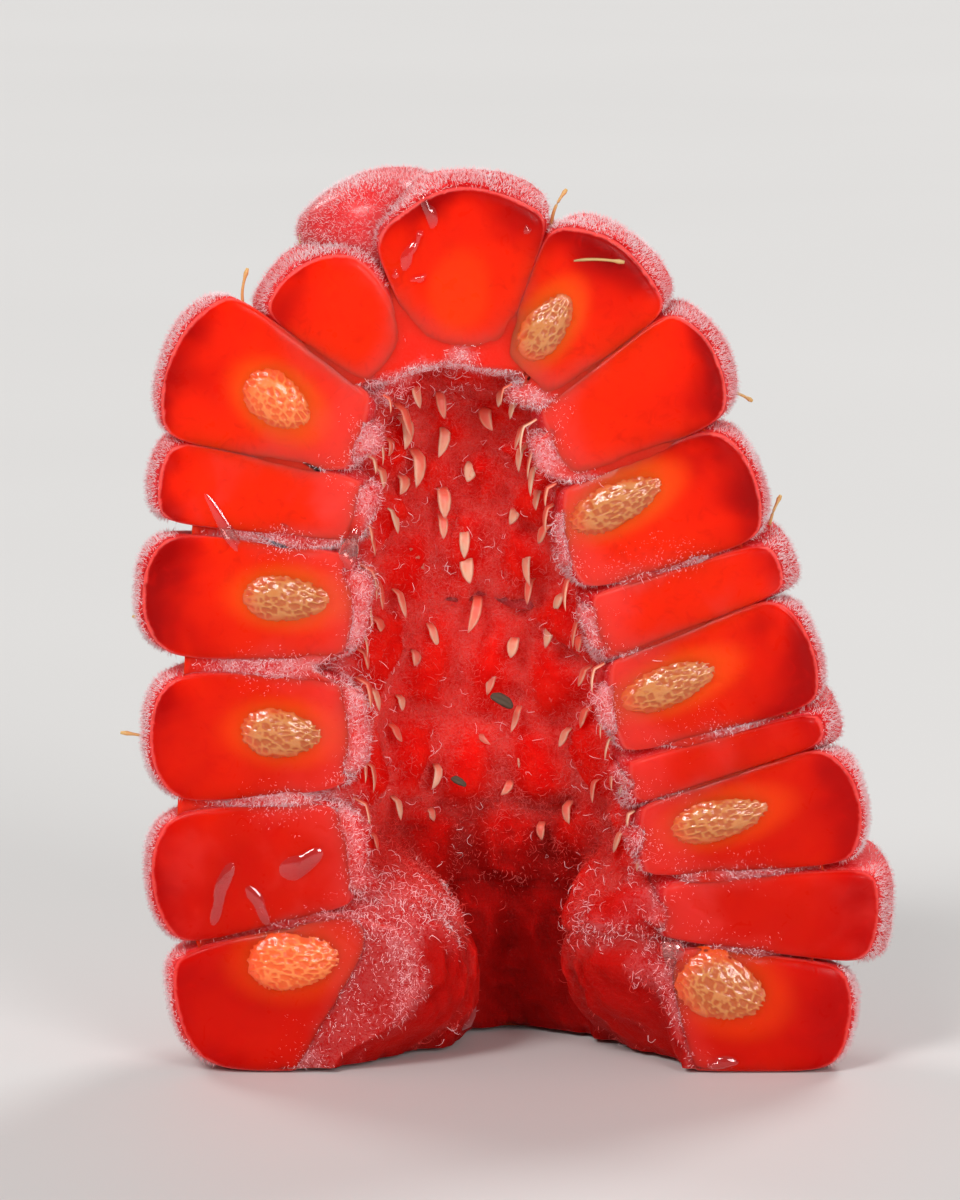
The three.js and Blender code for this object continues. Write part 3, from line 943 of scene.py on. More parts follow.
@dataclass(frozen=True)
class FibreFinish(Finish):
    """Torn fibre ends and dried styles, from the colour of the root to that of the tip.

    It reads "up_tube" along a tube, "side" towards its edges and "tone", which differs from tube to tube.
    """

    root: tuple
    tip: tuple
    streak_size: float = 0.0002
    streak_height: float = 0.00003

    def make(self) -> Material:
        """Builds the material: a run of colour from root to tip with fine streaks.

        Returns:
            The material.
        """
        tree = Tree(self.name)
        streak = tree.grain(self.streak_size, 3.0, 0.6, 0.5)
        share = tree.value("up_tube") * 0.6 + (streak - 0.5) * 0.4 + tree.value("tone") * 0.3
        share = share + tree.value("side").step(0.3, 0.9) * 0.4
        tree.bump(streak, 0.4, self.streak_height)
        return tree.dress(
            Base_Color=tree.mix(share.step(0.0, 0.9), self.root, self.tip),
            Roughness=0.45,
            Subsurface_Weight=0.5,
            Subsurface_Radius=(1.0, 0.6, 0.4),
            Subsurface_Scale=0.0004,
            IOR=1.45,
        )


@dataclass(frozen=True)
class AntherFinish(Finish):
    """A dried anther scrap: dull, nearly black brown."""

    name: str = "dried_anther"
    brown: tuple = (0.0784314, 0.0509804, 0.0313726)
    rough: float = 0.85

    def make(self) -> Material:
        """Builds the material, which is the same brown all over."""
        return Tree(self.name).dress(Base_Color=self.brown, Roughness=self.rough)


@dataclass(frozen=True)
class JuiceFinish(Finish):
    """Clear red juice."""

    name: str = "juice"
    tint: tuple = (1.0, 0.55, 0.50)
    pale: tuple = (1.0, 0.6, 0.56)
    cloud_size: float = 0.0005
    ripple_size: float = 0.0004
    ripple_height: float = 0.00008

    def make(self) -> Material:
        """Builds the material: a clear wet film with faint cloudiness.

        Returns:
            The material.
        """
        tree = Tree(self.name)
        cloud = tree.grain(self.cloud_size, 2.0)
        tree.bump(tree.grain(self.ripple_size, 2.0), 0.6, self.ripple_height)
        return tree.dress(
            Base_Color=tree.mix(cloud.step(0.4, 0.9), self.tint, self.pale),
            Roughness=0.03,
            Transmission_Weight=1.0,
            Coat_Weight=1.0,
            Coat_Roughness=0.03,
            Coat_IOR=1.6,
            IOR=1.36,
        )


@cache
def material_of(finish: Finish) -> Material:
    """The material of a finish, which is made once."""
    return finish.make()


def dressed(surface: Surface, name: str, finish: Finish) -> Piece:
    """Makes a piece in its finish.

    Args:
        surface: its shape.
        name: of the piece.
        finish: what it looks like.

    Returns:
        The piece.
    """
    piece = surface.build(name)
    piece.data.materials.append(material_of(finish))
    return piece


# ------------------------ drupelets


@dataclass(frozen=True)
class Drupelet:
    """One drupelet: its middle, half sizes along, across and round, and its three directions as rows."""

    name: str
    centre: Array
    size: Array
    axes: Array

    ROUNDNESS = 2.35
    SWELL = 0.16
    IN_LINE = 0.6
    FULL_OUTSIDE = 1.13
    FULL_INSIDE = 1.5
    FULL_RUN = (0.1, 0.8)

    @staticmethod
    def aimed(name: str, centre: Array, size: Array, tilt: float, turn: float) -> "Drupelet":
        """A drupelet by where it points.

        Args:
            name: its name.
            centre: its middle.
            size: its half sizes.
            tilt: how far it points up, in radians.
            turn: where it points round the fruit from +X, in radians.

        Returns:
            The drupelet.
        """
        out = np.array([math.cos(turn) * math.cos(tilt), math.sin(turn) * math.cos(tilt), math.sin(tilt)])
        around = np.array([-math.sin(turn), math.cos(turn), 0.0])
        return Drupelet(name, centre, size, np.stack([out, np.cross(out, around), around]))

    @staticmethod
    def from_row(name: str, row: tuple) -> "Drupelet":
        """A drupelet from its row of values.

        Args:
            name: its name.
            row: x, depth, z, the three half sizes and the tilt, which points to the left past 90 degrees.

        Returns:
            The drupelet, pointing away from the leaning axis.
        """
        x, y, z, long, high, wide, tilt = row
        leftward = math.cos(math.radians(tilt)) < 0
        lift = math.radians(180 - tilt if leftward else tilt)
        aside = min(x - axis_x(z), -AXIS_CLEAR) if leftward else max(x - axis_x(z), AXIS_CLEAR)
        centre, size = np.array([x, y, z]), np.array([long, high, wide])
        return Drupelet.aimed(name, centre, size, lift, math.atan2(y, aside))

    @property
    def tip(self) -> Array:
        """Its outer end."""
        return self.centre + self.axes[0] * self.size[0]

    def spread(self, normal: Array) -> float:
        """How far its rounded body reaches in a direction."""
        return float(np.linalg.norm(self.axes @ normal * self.size))

    def wall_to(self, other: "Drupelet") -> tuple[Array, float]:
        """The wall between two drupelets, along both, or across where one lies behind the other.

        Args:
            other: the neighbour.

        Returns:
            The wall's normal and its distance from this one's middle.
        """
        apart = other.centre - self.centre
        mean = unit(self.axes[0] + other.axes[0])
        normal = apart - mean * (apart @ mean)
        if np.linalg.norm(normal) < self.IN_LINE:
            normal = apart
        normal = unit(normal)
        share = self.spread(normal) / (self.spread(normal) + other.spread(normal))
        return normal, abs(float(apart @ normal)) * share

    def body(self, ways: Array, inner: float) -> Array:
        """Distance from the middle to the free body, which is a swollen superellipsoid.

        The sum of the three scaled parts of the direction, each to the power of its roundness, is one, and
        the two cross sizes grow towards the outer end. Its inner half is fuller: the neighbours trim it.

        Args:
            ways: unit directions.
            inner: length of the inner half.

        Returns:
            One distance per direction.
        """
        forth, across, aside = np.moveaxis(ways @ self.axes.T, -1, 0)
        full = self.FULL_INSIDE + (self.FULL_OUTSIDE - self.FULL_INSIDE) * smooth(forth, *self.FULL_RUN)
        swell = (1 + self.SWELL * forth) * full
        long, high, wide = self.size
        long = np.where(forth < 0, inner, long)
        bulk = (
            np.abs(forth / long) ** self.ROUNDNESS
            + np.abs(across / (high * swell)) ** self.ROUNDNESS
            + np.abs(aside / (wide * swell)) ** self.ROUNDNESS
        )
        return bulk ** (-1 / self.ROUNDNESS)


class Packing:
    """All drupelets of the half, in the places that they have in the solid frame.

    COUNT drupelets of one SIZE start on a spiral over the back. For so many STEPS their tips push each other
    apart, up to a PITCH, and stay between LOW and HIGH and behind DEPTH.
    """

    COUNT = 26
    SIZE = np.array([2.75, 1.95, 2.1])
    PITCH = 4.3
    LOW = 4.3
    HIGH = 20.6
    DEPTH = 4.4
    DEPTH_SHARE = 0.8
    STEPS = 160
    PUSH = 0.22
    SEED = 7
    SPIRAL_STEP = 0.618034
    SPIRAL_FROM = 0.2
    SPIRAL_SPAN = 0.6
    SPIRAL_JITTER = 0.05
    SPIRAL_CROWDING = 1.1
    REACH = 7.5

    def __init__(self) -> None:
        """Places the named drupelets and spreads the others over the back."""
        self.cut = [Drupelet.from_row(name, row) for name, row in CUT_DRUPELETS.items()]
        self.whole = [Drupelet.from_row(name, row) for name, row in WHOLE_DRUPELETS.items()]
        self.back = self._back()
        self.all = [*self.cut, *self.whole, *self.back]
        self.named = {one.name: one for one in self.all}

    def _onto_outside(self, tips: Array) -> Array:
        """Puts points on the fruit's outside.

        Args:
            tips: the points.

        Returns:
            Each at its own height and turn, and no nearer the cut than the back drupelets may come.
        """
        z = np.clip(tips[:, 2], self.LOW, self.HIGH)
        flat = np.stack([tips[:, 0] - axis_x(z), np.maximum(tips[:, 1], AXIS_CLEAR)], -1)
        radius = at_height(OUTSIDE, z, 1)
        flat = unit(flat) * radius[:, None]
        least = np.minimum(self.DEPTH, radius * self.DEPTH_SHARE)
        across = np.sqrt(radius**2 - least**2)
        near = flat[:, 1] < least
        flat[:, 0] = np.where(near, np.sign(flat[:, 0]) * across, flat[:, 0])
        flat[:, 1] = np.where(near, least, flat[:, 1])
        return np.stack([axis_x(z) + flat[:, 0], flat[:, 1], z], -1)

    def _back(self) -> list[Drupelet]:
        """Starts on a spiral, then lets the tips push each other and the placed ones apart.

        Returns:
            The drupelets of the back.
        """
        draws = Draws(self.SEED)
        order = np.arange(self.COUNT)
        height = self.LOW + (self.HIGH - self.LOW) * ((order + 0.5) / self.COUNT) ** self.SPIRAL_CROWDING
        jitter = np.array([draws() for _ in order]) * self.SPIRAL_JITTER
        turn = math.pi * (self.SPIRAL_FROM + self.SPIRAL_SPAN * ((order * self.SPIRAL_STEP + jitter) % 1))
        tips = self._onto_outside(np.stack([axis_x(height) + np.cos(turn), np.sin(turn), height], -1))
        fixed = np.array([one.tip for one in [*self.cut, *self.whole]])
        for _ in range(self.STEPS):
            apart = tips[:, None] - np.concatenate([tips, fixed])[None]
            gap = np.linalg.norm(apart, axis=-1)
            pushing = (gap > TINY) & (gap < self.PITCH)
            push = np.where(pushing, self.PUSH * (self.PITCH - gap) / np.maximum(gap, TINY), 0.0)
            tips = self._onto_outside(tips + (apart * push[..., None]).sum(axis=1))
        made = []
        for i, tip in enumerate(tips):
            turn = math.atan2(tip[1], tip[0] - axis_x(tip[2]))
            tilt = math.radians(at_height(OUTSIDE, tip[2], 2))
            aimed = Drupelet.aimed(f"back_{i}", tip, self.SIZE, tilt, turn)
            made.append(Drupelet(aimed.name, tip - aimed.axes[0] * self.SIZE[0], self.SIZE, aimed.axes))
        return made

    def near(self, one: Drupelet) -> list[Drupelet]:
        """The neighbours of a drupelet, whose middles are within reach of its own."""
        others = [other for other in self.all if other.name != one.name]
        return [other for other in others if np.linalg.norm(other.centre - one.centre) < self.REACH]


@dataclass
class DrupeletSkin:
    """A drupelet's surface: in each direction the soft least of its free body and the walls round it.

    blend is how sharply the two meet, gap the width between neighbours, and loose names the neighbours that
    it may swell into.
    """

    one: Drupelet
    packing: Packing
    blend: float = 9.0
    gap: float = -0.05
    floor_gap: float = 0.02
    hollow_margin: float = NEAR
    loose: tuple = ()
    hollow_top: float = 15.4
    hollow_least: float = 0.6
    whole_columns: int = 50
    whole_rows: int = 28

    INNER_FILL = 1.04
    # Distance of the nearest wall over that of the free body, where the skin starts to be free and is so.
    FREE = (0.97, 1.12)
    # Distances from the axis between which a tongue's shade fades.
    SHADED = (3.5, 6.0)
    # By what share a tongue is drawn back from the cut, in directions that point this much towards it.
    TUCK = 0.28
    TUCK_FROM = (-0.1, 0.6)
    RELIEF = 0.05
    RELIEF_SIZE = 1.3
    TUFT_SIZE = 1.0
    TUFT_STRETCH = np.array([1.0, 1.0, 0.45])

    def __post_init__(self) -> None:
        """Collects the walls to the neighbours, the floor and the hollow, then sets the drupelet back."""
        normals, distances = [], []
        for other in self.packing.near(self.one):
            if other.name in self.loose:
                continue
            normal, distance = self.one.wall_to(other)
            pair = tuple(sorted((self.one.name, other.name)))
            normals.append(normal)
            distances.append(distance - BANDS.get(pair, self.gap) / 2)
        centre = self.one.centre
        self.inner = float(self.one.size[0])
        if self.one.name in SLANTS:
            away, slope = SLANTS[self.one.name]
            across, up = tilted(slope)
            normals.append(np.array([across, 0.0, up]))
            distances.append(away)
        normals.append(np.array([0.0, 0.0, -1.0]))
        distances.append(centre[2] - self.floor_gap)
        if centre[2] > RIM_TOP:
            level = min(centre[2], self.hollow_top)
            inward = np.array([axis_x(level), 0.0, level]) - centre
            way = unit(inward)
            inner = at_height(HOLLOW, level, 1) * math.hypot(way[0], way[1] * HOLLOW_DEPTH, way[2])
            normals.append(way)
            deep = float(np.linalg.norm(inward)) - inner - self.hollow_margin
            distances.append(max(deep, self.hollow_least))
            if self.one.name in CUT_DRUPELETS:
                self.inner = distances[-1] * self.INNER_FILL
        shift = np.array([0.0, SET_BACK.get(self.one.name, 0.0), 0.0])
        self.normals = np.array(normals)
        self.distances = np.array(distances) - self.normals @ shift
        self.one = Drupelet(self.one.name, centre + shift, self.one.size, self.one.axes)

    def reach(self, ways: Array) -> tuple[Array, Array]:
        """Distance to the surface: the soft least of the free body's and the nearest wall's.

        Args:
            ways: unit directions from the middle.

        Returns:
            The distances, and how free the skin is there, from 0 to 1.
        """
        body = self.one.body(ways, self.inner)
        facing = ways @ self.normals.T
        walls = np.where(facing > TINY, self.distances / np.maximum(facing, TINY), FAR)
        nearest = walls.min(axis=-1)
        total = body**-self.blend + nearest**-self.blend
        return total ** (-1 / self.blend), smooth(nearest / body, *self.FREE)

    def relief(self, points: Array) -> Array:
        """Small unevenness of the skin, in millimetres."""
        return self.RELIEF * layered(points, self.RELIEF_SIZE, 2, 5)

    def whole(self) -> Surface:
        """The surface of a drupelet that the cut missed, on a grid round its length.

        Returns:
            The closed surface, with the values that SkinFinish reads.
        """
        tilt, turn = sphere_grid(self.whole_rows, self.whole_columns)
        out, up, around = self.one.axes
        ways = (
            np.cos(tilt)[..., None] * out
            + (np.sin(tilt) * np.cos(turn))[..., None] * around
            + (np.sin(tilt) * np.sin(turn))[..., None] * up
        )
        tongue = self.one.name.startswith(TONGUE)
        tucked = self.TUCK * tongue
        reach, free = self.reach(ways)
        reach = reach * (1 - tucked * smooth(-ways[..., 1], *self.TUCK_FROM))
        points = self.one.centre + ways * reach[..., None]
        points = points + ways * (self.relief(points) * free)[..., None]
        first, last = (
            self.one.centre
            + way * self.reach(way[None])[0][0] * (1 - tucked * smooth(-way[1], *self.TUCK_FROM))
            for way in (out, -out)
        )
        shade, tuft = self._tongue_looks(points) if tongue else (np.zeros(free.shape), np.ones(free.shape))
        return ball(first, points, last, {"free": free, "shade": shade, "tuft": tuft})

    def _tongue_looks(self, points: Array) -> tuple[Array, Array]:
        """How much painted shade and how much fuzz a tongue has: bare and dark inside the hollow, with tufts
        near the cut.

        Args:
            points: on the tongue.

        Returns:
            The shade and the tufts, each from 0 to 1.
        """
        inside = np.hypot(points[..., 0] - axis_x(points[..., 2]), points[..., 1] / HOLLOW_DEPTH)
        # Painted shade: dark inside the hollow, and on the front tongues darker further behind the cut.
        shade = 1 - smooth(inside, *self.SHADED)
        if self.one.name not in SHADED_TONGUES:
            shade = shade * (0.35 + 0.55 * smooth(points[..., 1], 0.6, 2.8))
        tuft = smooth(layered(points * self.TUFT_STRETCH, self.TUFT_SIZE, 3, TUFT_SEED), -0.15, 0.5)
        tuft = 0.06 + tuft * (0.25 + 0.75 * (1 - smooth(points[..., 1], 1.0, 3.2)))
        return shade, np.maximum(tuft, smooth(inside, *self.SHADED))


@dataclass
class CutDrupelet(DrupeletSkin):
    """A drupelet that the cut opened: its flat face looks out of the cut, and its skin goes round behind."""

    columns: int = 104
    face_rows: int = 22
    back_rows: int = 24
    dome: float = 0.10
    plateau: int = 12
    lip: float = 0.03
    lip_at: float = 0.972
    lip_width: float = 0.018
    wave: float = 0.03
    wave_size: float = 1.1
    meniscus: float = 0.04
    fillet: float = 60.0

    # The search for the rim: how many angles, and how far from square to the cut and from along it.
    SEARCH = 220
    SEARCH_END = 0.02
    # Rows lie closer together towards the rim, by these powers on the face and behind it.
    FACE_CROWDING = 1.5
    BACK_CROWDING = 1.25
    RIM_FADE = 6
    # The stone's glow, from and to so many times the stone's half size.
    HALO = (0.85, 1.5)
    # Heights between which the darker flesh low on the fruit gives way to the lighter.
    LOW_DOWN = (1.0, 15.0)

    def _ways(self, alpha: Array, phi: Array) -> Array:
        """Directions at an angle alpha from the cut's outward normal and a turn phi from +X to +Z."""
        return np.stack([np.sin(alpha) * np.cos(phi), -np.cos(alpha), np.sin(alpha) * np.sin(phi)], -1)

    def _rim(self, phi: Array) -> Array:
        """The angle at which the surface leaves the cut plane: the first that no longer reaches past it.

        Args:
            phi: turns from +X to +Z.

        Returns:
            One angle from the cut's outward normal per turn.
        """
        alpha = np.linspace(self.SEARCH_END, np.pi / 2 - self.SEARCH_END, self.SEARCH)
        grid = self._ways(*np.meshgrid(alpha, phi, indexing="ij"))
        ahead = self.reach(grid)[0] * np.cos(alpha)[:, None] - self.one.centre[1]
        count = np.cumprod(ahead > 0, axis=0).sum(axis=0).clip(1, self.SEARCH - 1)
        column = np.arange(len(phi))
        before, after = ahead[count - 1, column], ahead[count, column]
        share = np.clip(before / np.maximum(before - after, 1e-9), 0, 1)
        return alpha[count - 1] + share * (alpha[count] - alpha[count - 1])

    def glow(self, points: Array) -> Array:
        """How near the stone is, seen square to the cut.

        Args:
            points: on the drupelet.

        Returns:
            One value per point, from 0 to 1.
        """
        name = self.one.name
        row = STONES.get(name, HIDDEN_STONES.get(name))
        if row is None:
            return np.zeros(points.shape[:-1])
        strength = 1.0 if name in STONES else HIDDEN_GLOW
        x, z, length, height, tilt = row
        along, across = tilted(tilt)
        dx, dz = points[..., 0] - x, points[..., 2] - z
        forth = (dx * along + dz * across) / (length / 2)
        aside = (-dx * across + dz * along) / (height / 2)
        return strength * (1 - smooth(np.hypot(forth, aside), *self.HALO))

    def surface(self) -> Surface:
        """The face as rings from its middle to its rim, then rows over the skin to the far pole.

        The face is the cut plane, raised by a flat dome that falls away at the rim, a lip along free skin, a
        low wave and a meniscus round the stone.

        Returns:
            The closed surface with the values that FleshFinish reads.
        """
        depth = self.one.centre[1]
        phi = 2 * np.pi * np.arange(self.columns) / self.columns
        rim = self._rim(phi)
        share = (np.arange(self.face_rows) + 1) / self.face_rows
        share = 1 - (1 - share) ** self.FACE_CROWDING
        face_alpha = np.arctan(share[:, None] * np.tan(rim)[None])
        later = ((np.arange(self.back_rows) + 1) / (self.back_rows + 1)) ** self.BACK_CROWDING
        back_alpha = rim[None] + (np.pi - rim[None]) * later[:, None]
        alpha = np.concatenate([face_alpha, back_alpha])
        ways = self._ways(alpha, np.broadcast_to(phi, alpha.shape))
        reach, free = self.reach(ways)
        to_cut = np.where(np.cos(alpha) > TINY, depth / np.maximum(np.cos(alpha), TINY), FAR)
        radius = (reach**-self.fillet + to_cut**-self.fillet) ** (-1 / self.fillet)
        points = self.one.centre + ways * radius[..., None]
        face = np.zeros(alpha.shape)
        face[: self.face_rows] = 1.0
        radial = np.ones(alpha.shape)
        radial[: self.face_rows] = share[:, None]
        radial[self.face_rows:] = np.clip(1 - later * self.RIM_FADE, 0, 1)[:, None]
        glow = self.glow(points) * face
        on_face = face * (1 - radial**self.plateau)
        rise = self.dome * on_face
        rise = rise + self.lip * np.exp(-(((radial - self.lip_at) / self.lip_width) ** 2)) * face * free
        rise = rise + on_face * self.wave * layered(points, self.wave_size, 3, 9) + self.meniscus * glow**2
        points[..., 1] -= rise
        points = points + ways * (self.relief(points) * free * (1 - face))[..., None]
        forth = (points - self.one.centre) @ self.one.axes[0] / self.one.size[0]
        first = np.array([self.one.centre[0], -self.dome, self.one.centre[2]])
        back = np.array([0.0, 1.0, 0.0])
        last = self.one.centre + back * self.reach(back[None])[0][0]
        return ball(first, points, last, {
            "free": free,
            "face": face,
            "radial": radial,
            "forth": forth,
            "glow": glow,
            "film": np.full(alpha.shape, float(self.one.name in FILMED)),
            "ripe": 1 - smooth(points[..., 2], *self.LOW_DOWN),
        })


class Side(Enum):
    """The groups that the cut drupelets are gathered in."""

    LEFT = "left"
    RIGHT = "right"
    CROWN = "crown"


class Flesh:
    """All drupelets: the opened ones by side, and the whole ones of the back and the rim."""

    # Of the whole drupelets: the gap between them, how sharply they meet, and their distance to the hollow.
    OVERLAP = -0.14
    BLEND = 7.0
    MARGIN = 0.8

    def __init__(self, packing: Packing) -> None:
        """Works out every drupelet's surface.

        Args:
            packing: where they stand.
        """
        self.cut = {
            side: Surface.joined([
                CutDrupelet(one, packing).surface()
                for one in packing.cut if one.name.startswith(side.value)
            ])
            for side in Side
        }
        self.whole, self.back = (
            Surface.joined([self.skin(one, packing, self.MARGIN).whole() for one in group])
            for group in (packing.whole, packing.back)
        )

    @classmethod
    def skin(cls, one: Drupelet, packing: Packing, margin: float = NEAR) -> DrupeletSkin:
        """The skin of a whole drupelet: it overlaps its neighbours and keeps a margin from the hollow."""
        loose = OPEN_TO.get(one.name, ())
        return DrupeletSkin(one, packing, cls.BLEND, cls.OVERLAP, hollow_margin=margin, loose=loose)

    def build(self) -> list[Piece]:
        """Makes and dresses the pieces.

        Returns:
            The opened drupelets of each side, then the whole ones.
        """
        cut = {f"cut_drupelets_{side.value}": surface for side, surface in self.cut.items()}
        whole = {"drupelets_rim": self.whole, "drupelets_back": self.back}
        return [
            *(dressed(surface, name, FleshFinish()) for name, surface in cut.items()),
            *(dressed(surface, name, SkinFinish()) for name, surface in whole.items()),
        ]


# ------------------------ the wall of the hollow


@dataclass
class FeltWall:
    """The wall between and behind the drupelets: a half shell whose inner side is the felted hollow.

    Its inner side is a grid of turn by height at the hollow's radius, pushed in on the drupelets' ends, out
    in the folds between, and in over the tongues of the rim. Its outer side follows the fruit's outside,
    below the tips. Rings along the cut and the rim join the two. From dim_to down the felt gives way to
    tufts and darkens with a painted shade, and along the cut bare flesh stands at web_level and fuzz at
    fuzzy_level.
    """

    packing: Packing
    low: float = 0.12
    # Heights over which, going down, the felt gives way to tufts and a painted shade sets in.
    dim_from: float = 2.6
    dim_to: float = 6.6
    over_tongues: float = 0.1
    foot: float = 1.0
    inner_tip: float = 17.2
    outer_tip: float = 19.2
    depth_cut: float = 0.85
    depth_back: float = 2.3
    set_back: float = 0.06
    turns: int = 100
    heights: int = 150
    edge_rings: int = 24
    band_narrow: float = 2.5
    bare_top: float = 16.7
    web_level: float = -0.055
    fuzzy_level: float = -0.02
    fold: float = 0.5
    fold_level: float = 0.12
    flare: float = 0.9
    flare_depth: float = 1.5
    raggedness: float = 0.7
    fluff: float = 0.13
    fluff_size: float = 0.45
    foot_height: float = 3.4
    ray_steps: int = 70
    ray_from: float = 0.02
    passes: int = 14

    # Across a fold: the distance to the second nearest drupelet end less that to the nearest.
    NOTCH = (0.05, 1.2)
    # Rows rise as a quarter of a sine wave to this power, and so lie closer together towards the tip.
    LIFT_POWER = 0.9
    # Shares of a point's own pull and of each of its four neighbours' when the pull is averaged.
    OWN = 0.4
    SHARED = 0.15
    TUFT_SIZE = 0.8
    TUFT_STRETCH = np.array([1.0, 1.0, 0.4])
    TUFT_RUN = (-0.05, 0.6)
    # The least radius of a drupelet's end, so that ends near the tip keep apart.
    LEAST_END = 0.8
    # The wall's share of a fold on its outer side, where nothing shows.
    HIDDEN_NOTCH = 0.3
    # How far from a fuzzy band's middle the wall turns bare, if heights count band_narrow times.
    BAND_RUN = (0.8, 1.7)

    def _ends(self) -> Array:
        """The inner ends of the drupelets.

        Returns:
            One point on the hollow's wall for each.
        """
        ends = []
        for one in self.packing.all:
            inner = one.centre - one.axes[0] * one.size[0]
            way = unit(one.centre[:2] - np.array([axis_x(one.centre[2]), 0.0]))
            radius = max(float(at_height(HOLLOW, inner[2], 1)), self.LEAST_END)
            ends.append([axis_x(inner[2]) + way[0] * radius, way[1] * radius * HOLLOW_DEPTH, inner[2]])
        return np.array(ends)

    def _notch(self, points: Array) -> Array:
        """How deep in a fold points lie: 0 on a drupelet's end, 1 where the two nearest are equally far."""
        nearest = np.partition(np.linalg.norm(points[..., None, :] - self._ends(), axis=-1), 1, axis=-1)
        return 1 - smooth(nearest[..., 1] - nearest[..., 0], *self.NOTCH)

    def _tufts(self, points: Array) -> Array:
        """The tufts that are left where the felt gives way towards the rim, from 0 to 1."""
        return smooth(layered(points * self.TUFT_STRETCH, self.TUFT_SIZE, 3, TUFT_SEED), *self.TUFT_RUN)

    def _sheet(self, radius: Array, turn: Array, z: Array, depth: float) -> Array:
        """Points at a radius and a turn about the leaning axis, stretched square to the cut."""
        return np.stack([axis_x(z) + radius * np.cos(turn), radius * np.sin(turn) * depth, z], -1)

    def _turns(self, radius: Array, share: Array, set_back: float) -> Array:
        """Turns from one end face to the other, which both lie a little behind the cut."""
        start = np.arcsin(np.clip(set_back / np.maximum(radius, set_back * 1.02), 0, 1))
        return start + (np.pi - 2 * start) * share

    def _over(self, radius: Array, turn: Array, z: Array) -> Array:
        """Draws the wall in over the tongues of the rim: it stops where a ray first enters one.

        The pull inwards is then averaged with its neighbours on the grid, so that it ends softly.

        Args:
            radius: of each point of the grid.
            turn: of each point.
            z: height of each point.

        Returns:
            The new radii.
        """
        share = np.linspace(self.ray_from, 1.0, self.ray_steps)
        rays = self._sheet(radius[..., None] * share, turn[..., None], z[..., None] + 0 * share, HOLLOW_DEPTH)
        drawn = radius.copy()
        for one in self.packing.whole:
            if not one.name.startswith(TONGUE):
                continue
            skin = Flesh.skin(one, self.packing)
            away = rays - one.centre
            apart = np.linalg.norm(away, axis=-1)
            beyond = apart - skin.reach(away / apart[..., None])[0]
            first = np.argmax(beyond < 0, axis=-1)[..., None]
            before = np.maximum(first - 1, 0)
            outer, inner = (np.take_along_axis(beyond, at, axis=-1) for at in (before, first))
            part = outer / np.maximum(outer - inner, TINY)
            met = (share[before] + (share[first] - share[before]) * part)[..., 0] * radius - self.over_tongues
            drawn = np.where((beyond < 0).any(axis=-1), np.minimum(drawn, met), drawn)
        pull = radius - drawn
        for _ in range(self.passes):
            padded = np.pad(pull, 1, mode="edge")
            pull = (
                padded[1:-1, 1:-1] * self.OWN
                + (padded[:-2, 1:-1] + padded[2:, 1:-1]) * self.SHARED
                + (padded[1:-1, :-2] + padded[1:-1, 2:]) * self.SHARED
            )
        return radius - pull

    def surface(self) -> Surface:
        """The whole wall.

        Returns:
            The closed shell, with the values that FeltFinish reads.
        """
        rise, share = (np.linspace(0, 1, count) for count in (self.heights, self.turns))
        rise, share = np.meshgrid(rise, share, indexing="ij")
        lift = np.sin(rise * np.pi / 2) ** self.LIFT_POWER
        inner, notch = self._inner(lift, share)
        return self._closed(inner, self._outer(lift, share), notch)

    def _inner(self, lift: Array, share: Array) -> tuple[Array, Array]:
        """The felted side of the wall.

        Its folds are pushed out and flare in ragged flaps at the cut, and its foot widens on the left.

        Args:
            lift: heights, from 0 to 1.
            share: turns, from 0 at the right edge to 1 at the left.

        Returns:
            The points, and how deep in a fold each lies.
        """
        z = self.low + (self.inner_tip - self.low) * lift
        radius = at_height(HOLLOW, z, 1)
        turn = self._turns(radius, share, self.set_back)
        inner = self._sheet(radius, turn, z, HOLLOW_DEPTH)
        notch = self._notch(inner)
        ragged = 1 + self.raggedness * layered(inner, 0.5, 3, 41)
        flare = self.flare * notch**2 * ragged * (1 - smooth(inner[..., 1], 0.1, self.flare_depth))
        fluff = self.fluff * layered(inner, self.fluff_size, 3, 21)
        push = self.fold * (notch - self.fold_level) + fluff + flare
        push = push + self.foot * (1 - smooth(z, 0.0, self.foot_height)) * smooth(turn, 2.3, 2.9)
        radius = self._over(radius + push * np.clip(radius / 1.2, 0, 1), turn, z)
        inner = self._sheet(radius, turn, z, HOLLOW_DEPTH)
        inner[..., 1] = np.maximum(inner[..., 1], self.set_back)
        return inner, notch

    def _outer(self, lift: Array, share: Array) -> Array:
        """The hidden side of the wall: it lies deeper towards the back and closes over the tip.

        Args:
            lift: heights, from 0 to 1.
            share: turns, from 0 at the right edge to 1 at the left.

        Returns:
            Its points.
        """
        z = self.low + (self.outer_tip - self.low) * lift
        depth = self.depth_cut + (self.depth_back - self.depth_cut) * np.sin(np.pi * share)
        radius = np.maximum(at_height(OUTSIDE, z, 1) - depth, self.set_back * 1.05)
        radius = radius * np.sqrt(np.clip(1 - (z / self.outer_tip) ** 16, 0.01, 1))
        return self._sheet(radius, self._turns(radius, share, self.set_back), z, 1.0)

